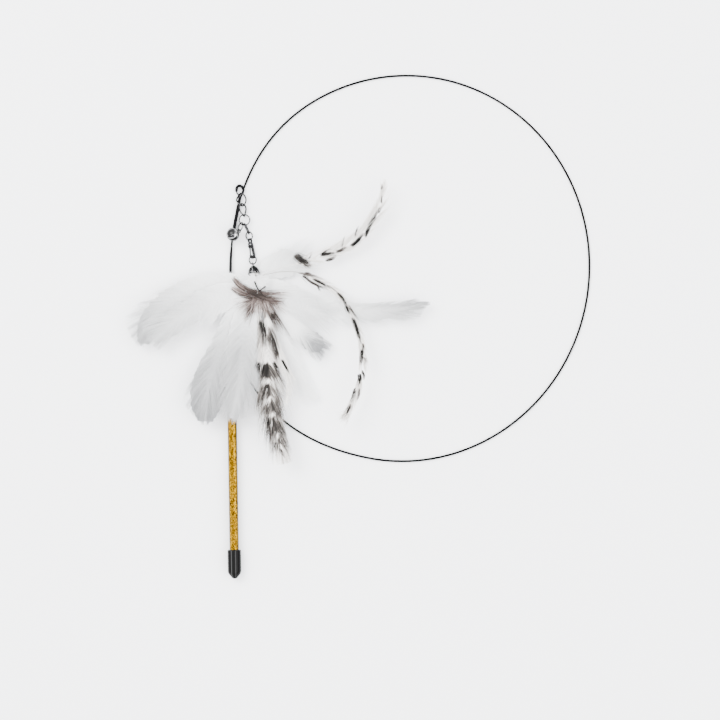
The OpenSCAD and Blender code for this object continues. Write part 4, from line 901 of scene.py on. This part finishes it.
left_pts = [(256, 281), (258, 303), (260.5, 324), (264, 345), (267.5, 362), (269, 382), (271, 402), (275, 422), (280, 441),
            (284, 456)]
LEFT_Z, RIGHT_Z, UP_Z, DOWN_Z = (2.7, 12.7), (2.8, 13.0), (0.3, 9.0), (1.5, 12.2)
hackle("barred_left_feather", "barred_left", left_pts, *LEFT_Z,
       [0, 0.2, 0.26, 0.34, 0.5, 0.62, 0.75, 0.88, 1], [2.5, 2.5, 4.5, 8.5, 9, 7.5, 6, 3.8, 1.6],
       [2, 2, 3, 6.5, 7.5, 7.5, 6.5, 3.8, 1.6],
       by_row(left_pts, [(364, 378, 0.66), (385, 395, 0.5), (398, 412, 0.8), (416, 431, 0.85),
                         (435, 443, 0.75)]),
       by_row(left_pts, [(326, 346, 0.2), (363, 378, 0.9), (384, 396, 0.8), (402, 412, 0.55), (417, 433, 0.85),
                         (438, 445, 0.6)]), 101, density=8, root=0.19, along=0.72, angle0=32, angle1=15, fill=0.62, pale=0.9,
       jitter=2.2)
dashes("barred_left_dashes", (
    ([(260.5, 318), (263.5, 332), (264.5, 352)], 34, 1.2, 0.3, (0.15, 0.1, 0.35), 0.26),
    ([(261.5, 362), (259.3, 368), (257.8, 374)], 30, 0.8, 0.4, (0.1, 0.0, 0.3), 0.3),
    ([(266.5, 363), (266, 370), (264.5, 378)], 36, 1.1, 0.5, (0.15, 0.0, 0.25), 0.3),
    ([(273.5, 361), (277.5, 368), (280, 376.5)], 26, 0.7, 0.4, (0.2, 0.1, 0.4), 0.28),
    ([(268, 383), (265, 389), (261.5, 396)], 26, 0.6, 0.3, (0.2, 0.1, 0.4), 0.28),
    ([(261, 388), (259, 398), (257.5, 417)], 22, 0.6, 0.5, (0.65, 0.4, 0.5), 0.26),
    ([(266.5, 403), (266, 411), (265.5, 420)], 18, 0.6, 0.5, (0.5, 0.35, 0.6), 0.26),
    ([(270, 416), (269.5, 423), (269, 433)], 26, 0.7, 0.4, (0.1, 0.0, 0.4), 0.28),
    ([(284, 440), (285.3, 445), (287, 450)], 16, 0.5, 0.3, (0.35, 0.2, 0.45), 0.26),
    ([(276.5, 441), (275.5, 446), (275, 451)], 14, 0.5, 0.3, (0.4, 0.35, 0.6), 0.26),
    ([(281, 448), (283, 453), (285, 459)], 12, 0.4, 0.5, (0.4, 0.5, 0.7), 0.24)), left_pts, *LEFT_Z, 500, 0.6)
right_pts = [(258, 281), (264, 305), (269, 324), (275, 341), (281.5, 358), (287, 371), (288.5, 385), (287, 400)]
hackle("barred_right_feather", "barred_right", right_pts, *RIGHT_Z,
       [0, 0.2, 0.4, 0.6, 0.8, 1], [2, 2, 2.5, 3, 2.2, 1], [2, 2, 3.5, 3.6, 2, 0.8],
       [],
       by_row(right_pts, [(306, 316, 0.5), (330, 354, 0.6)]), 113, density=5, root=0.22, gaps=0.2, quill=0.97,
       along=0.7, angle0=20, angle1=10, pale=0.93, fill=0.4)
dashes("barred_right_dashes", (
    ([(269, 326), (274.5, 339), (280.5, 357)], 34, 1.0, 0.4, (0.6, 0.12, 0.3), 0.26),
    ([(267, 334), (270, 341), (272, 350)], 16, 0.6, 0.4, (0.6, 0.35, 0.6), 0.24),
    ([(281.8, 359), (286, 366), (290.3, 374)], 22, 0.35, 0.2, (0.1, 0.0, 0.2), 0.3)), right_pts, *RIGHT_Z, 520, 0.5)
up_pts = [(257, 277), (278, 269), (300, 263), (322, 257), (340, 250), (354, 242), (364, 232), (373, 220), (379, 206),
          (381.5, 196), (382, 186)]
hackle("curl_up_skin", "curl_up_feather", up_pts, *UP_Z,
       [0, 0.24, 0.28, 0.42, 0.55, 0.66, 0.8, 0.9, 1], [0, 4, 6, 6, 7, 7, 4, 2, 1.2],
       [0, 3, 4, 3, 3.4, 3.4, 3, 2, 1.2], [], [], 127, density=4.2, root=0.24, gaps=0.3, pale=0.92, angle0=30, angle1=12,
       wide=0.26, quill=0.93)
dashes("curl_up_dashes", (
    ([(294, 254.5), (303, 260), (312, 263.5)], 56, 1.1, 0.9, (0.4, 0.0, 0.25), 0.34),
    ([(297, 262), (303, 261), (309, 257)], 20, 0.8, 1.2, (0.5, 0.35, 0.6), 0.26),
    ([(303, 262.5), (309, 265.5), (314, 264.5)], 26, 0.8, 0.8, (0.4, 0.45, 0.7), 0.26),
    ([(308, 260), (311, 255), (312.5, 249)], 7, 0.2, 0.8, (0.3, 0.5, 0.8), 0.22),
    ([(319.5, 255.5), (328, 254.2), (338, 253.2)], 28, 0.5, 0.4, (0.2, 0.12, 0.5), 0.3),
    ([(320.5, 255), (327, 251.5), (334, 249)], 9, 0.3, 0.6, (0.3, 0.5, 0.8), 0.22),
    ([(325, 261), (331, 259), (337.5, 255.8)], 22, 0.5, 0.4, (0.3, 0.2, 0.5), 0.28),
    ([(335.7, 252.5), (341, 250.5), (348.5, 246.3)], 24, 0.4, 0.4, (0.3, 0.25, 0.6), 0.28),
    ([(342, 248), (343, 241), (345, 234)], 11, 0.3, 0.6, (0.4, 0.5, 0.85), 0.24),
    ([(350.5, 247.3), (357, 241.5), (364, 232)], 34, 0.55, 0.3, (0.15, 0.0, 0.3), 0.32),
    ([(355, 237), (356.5, 232), (358.5, 226)], 13, 0.3, 0.4, (0.3, 0.12, 0.5), 0.26),
    ([(364.8, 238), (369.5, 227), (378, 210.5)], 34, 0.5, 0.3, (0.15, 0.0, 0.3), 0.32),
    ([(370, 224.5), (371.8, 221), (373.2, 217)], 12, 0.3, 0.3, (0.2, 0.15, 0.5), 0.26),
    ([(373, 222.5), (375.3, 219), (377.5, 215.5)], 14, 0.3, 0.3, (0.2, 0.1, 0.4), 0.26),
    ([(378.3, 214), (379.5, 211), (381, 206.5)], 16, 0.35, 0.3, (0.2, 0.15, 0.6), 0.28),
    ([(381, 204), (381.5, 200), (382, 195.5)], 13, 0.3, 0.3, (0.55, 0.45, 0.7), 0.26),
    ([(381.7, 190.5), (382, 187), (382.2, 184)], 12, 0.3, 0.3, (0.5, 0.4, 0.7), 0.26)), up_pts, *UP_Z, 540)
down_pts = [(257, 277), (280, 272), (301, 273), (318, 280), (332, 288), (345, 302), (353, 318), (359, 335), (362, 355),
            (361, 374), (356, 392), (347, 413)]
hackle("curl_down_skin", "curl_down_feather", down_pts, *DOWN_Z,
       [0, 0.22, 0.3, 0.36, 0.42, 0.6, 0.8, 0.93, 1], [0, 1.5, 2.2, 2, 1.6, 2.4, 2.4, 2.2, 1],
       [0, 2.5, 3.6, 4, 2, 2.4, 2.4, 2.4, 1], [], [], 131, density=5, root=0.21, gaps=0.2, pale=0.9, angle0=22, angle1=11,
       wide=0.24, quill=0.75)
dashes("curl_down_dashes", (
    ([(298, 273), (306.7, 274.6), (316, 276.7), (331, 281.5)], 15, 0.3, 0.6, (0.5, 0.4, 0.8), 0.22),
    ([(302.5, 275), (306, 278), (310, 282)], 22, 0.6, 0.4, (0.4, 0.2, 0.45), 0.28),
    ([(304.5, 273.6), (308, 273.6), (313, 275)], 16, 0.4, 0.3, (0.35, 0.3, 0.55), 0.26),
    ([(312.5, 278.8), (320.4, 282.5), (333, 288.8)], 30, 0.4, 0.2, (0.35, 0.0, 0.35), 0.3),
    ([(305, 278), (314, 283.6), (322.5, 287.3), (330, 288.6)], 20, 0.35, 0.3, (0.4, 0.25, 0.5), 0.26),
    ([(317.5, 285.5), (319, 288.5), (320.5, 292)], 12, 0.35, 0.4, (0.3, 0.3, 0.5), 0.26),
    ([(331, 287.5), (334.5, 290.3), (338, 293.5)], 7, 0.15, 0.1, (0.45, 0.45, 0.4), 0.22),
    ([(336.5, 292), (343.5, 300), (348, 310)], 32, 0.45, 0.2, (0.35, 0.12, 0.05), 0.3),
    ([(346, 305.5), (348, 310), (350, 315)], 26, 0.6, 0.2, (0.1, 0.0, 0.15), 0.32),
    ([(349, 306), (355.5, 316), (359.3, 321)], 18, 0.4, 0.2, (0.4, 0.3, 0.45), 0.26),
    ([(352.5, 317.5), (357, 329.4), (360.8, 343.5)], 42, 0.6, 0.2, (0.1, 0.0, 0.3), 0.32),
    ([(362.5, 343), (363, 347), (362.3, 352)], 16, 0.35, 0.2, (0.6, 0.35, 0.2), 0.28),
    ([(362.3, 349), (361, 357.5), (361, 365.5)], 40, 0.6, 0.2, (0.2, 0.0, 0.35), 0.32),
    ([(363.5, 356.5), (366, 361.5), (364.4, 366.5)], 15, 0.5, 0.3, (0.65, 0.65, 0.8), 0.26),
    ([(361.8, 370), (364, 375.5), (363.7, 380.5)], 24, 0.5, 0.2, (0.4, 0.2, 0.4), 0.28),
    ([(359, 373.5), (359.5, 378.5), (356.5, 386)], 36, 0.65, 0.2, (0.1, 0.05, 0.45), 0.3),
    ([(355.5, 387.3), (353.3, 396.5), (350.5, 403.5)], 32, 0.45, 0.2, (0.4, 0.0, 0.25), 0.3),
    ([(359.5, 387.5), (358.3, 395.5), (356, 401.5)], 18, 0.4, 0.3, (0.6, 0.35, 0.7), 0.26),
    ([(351.3, 404), (348.5, 409.3), (345.3, 415.5)], 28, 0.45, 0.2, (0.5, 0.1, 0.35), 0.3),
    ([(348, 412), (344, 417), (338, 421)], 50, 1.0, 4.0, (0.85, 0.88, 0.92), 0.2)), down_pts, *DOWN_Z, 560)


# The brown down: an arch of dark hairs across the quills, a pinkish core, a fan of paler hairs below it and long
# single hairs. Each lock is (points, heights, hairs, base, fan, tones, width).
down_locks = (
    ([(233, 277), (240, 285.5), (250, 291.5), (262, 297), (274, 300), (289, 300.5)], (6.3, 6.3), 150, 1.1, 0.8, (0.55, 0.1, 0.5), 0.26),
    ([(240, 285), (250, 291), (262, 296.5), (278, 299.5)], (6.5, 6.6), 60, 0.5, 0.4, (0.3, 0.0, 0.3), 0.28),
    ([(252, 289), (262, 293), (274, 293.5), (295, 294)], (5.9, 6.2), 60, 0.6, 2.0, (0.35, 0.2, 0.75), 0.22),
    ([(231, 287), (243, 294), (254, 298), (264, 300)], (5.6, 5.9), 80, 1.1, 1.2, (0.7, 0.35, 0.3), 0.24),
    ([(262, 297), (272, 301.5), (285, 303)], (5.8, 5.9), 80, 0.8, 1.8, (0.15, 0.15, 0.55), 0.24),
    ([(262, 296), (262, 304), (264, 317)], (5.4, 5.4), 150, 2.6, 3.5, (0.45, 0.62, 0.8), 0.34),
    ([(264, 297), (268, 305), (274, 319)], (5.4, 5.6), 130, 2.2, 3.0, (0.4, 0.5, 0.7), 0.32),
    ([(260, 298), (250, 306), (240, 317)], (5.2, 5.2), 90, 1.3, 5.0, (0.3, 0.4, 0.85), 0.24),
    ([(258, 298), (246, 302), (231, 308)], (5.2, 5.2), 60, 1.2, 5.0, (0.4, 0.65, 0.92), 0.22),
    ([(258, 301), (251, 310), (243, 325)], (5.2, 5.0), 76, 0.9, 3.0, (0.35, 0.25, 0.7), 0.26),
    ([(262, 305), (270, 312.5), (276, 322), (282, 336)], (5.5, 5.8), 80, 0.9, 2.4, (0.3, 0.12, 0.6), 0.28),
    ([(266, 300), (274, 311), (283, 326), (293, 343)], (5.6, 6.0), 16, 0.6, 1.6, (0.25, 0.2, 0.5), 0.22),
    ([(266, 298), (277, 303), (291, 311)], (5.4, 5.4), 40, 1.0, 4.0, (0.5, 0.7, 0.92), 0.22),
)
parts = [lock(spline(with_height(p, *z), 60)[0], n, base, fan, tones, w, 300 + j)
         for j, (p, z, n, base, fan, tones, w) in enumerate(down_locks)]
for foot, knee, tip, r0 in (((254.8, 281.5), (257.5, 288), (263, 295), 0.6), ((265.8, 286.6), (262.8, 288.8), (260, 291), 0.6)):
    parts.append(shaft(spline(with_height([foot, knee, tip], 6.2, 7.0), 30)[0], r0, 0.35, 0.0))
feather("down_tuft_skin", parts, DOWN, "feather_down", "down_tuft")

# White root down: short locks that leave the cap's mouth all round and hide its rim
parts = []
for j, deg in enumerate(range(0, 360, 24)):
    a = math.radians(deg)
    far = 13 if deg % 48 else 17
    tip = (257 + far * math.cos(a), 280 + (0.25 * far if math.sin(a) < 0 else far) * math.sin(a))
    bow = ((257 + tip[0]) / 2, (280 + tip[1]) / 2)
    parts.append(lock(spline(with_height([(257, 280), bow, tip], 4.0, 5.0), 60)[0], 60, 0.5, 4, (0.98, 0.98, 0.96), 0.3, 400 + j,
                      1.0, 0.05))
feather("root_down", parts, WHITE, "feather_white")

# The stage: a pale floor under the part, a soft studio and the camera
FLOOR_Z, SKY = -0.0052, 4.4
bpy.ops.mesh.primitive_plane_add(size=8, location=(0, 0, FLOOR_Z))
floor = bpy.context.active_object
floor.name = "floor"
floor.data.materials.append(plain("floor_pale", (0.95, 0.955, 0.965), 0.9, grain=0.02, depth=0.0, spread=0.02, spec=0.1))

# The studio: a bright ceiling and duller walls
world = bpy.data.worlds.new("studio")
bpy.context.scene.world = world
world.use_nodes = True
n, l = world.node_tree.nodes, world.node_tree.links
tc, xyz = n.new("ShaderNodeTexCoord"), n.new("ShaderNodeSeparateXYZ")
l.new(tc.outputs["Generated"], xyz.inputs["Vector"])
walls = ramp(n, l, xyz.outputs["Z"], [(0.0, (0.45, 0.45, 0.46)), (0.3, (0.45, 0.45, 0.46)), (0.55, (0.9, 0.91, 0.93)),
                                      (1.0, (0.99, 0.99, 1.0))])
l.new(walls, n["Background"].inputs["Color"])
n["Background"].inputs["Strength"].default_value = SKY


def lamp(name, place, size, power, aim=(0.12, 0.2, 0)):
    """A square area lamp aimed at the object."""
    d = bpy.data.lights.new(name, "AREA")
    d.size, d.energy = size, power
    o = bpy.data.objects.new(name, d)
    o.location = place
    o.rotation_euler = (Vector(aim) - Vector(place)).to_track_quat("-Z", "Y").to_euler()
    bpy.context.scene.collection.objects.link(o)


lamp("key", (-0.9, 1.0, 1.6), 1.2, 80)
lamp("fill", (1.2, -0.3, 1.4), 1.6, 34)

# The camera looks straight down, rolled so that the handle leans as in the picture
HIGH, FRAME_PX, SENSOR = 2.0, 720, 36
cam = bpy.data.objects.new("camera", bpy.data.cameras.new("camera"))
bpy.context.scene.collection.objects.link(cam)
bpy.context.scene.camera = cam
centre = on_table(FRAME_PX / 2, FRAME_PX / 2) * MM
cam.location = (centre[0], centre[1], HIGH)
cam.rotation_euler = (0, 0, -ROLL)
cam.data.sensor_width = SENSOR
cam.data.lens = SENSOR * HIGH / (FRAME_PX * PIXEL * MM)
cam.data.clip_end = 50
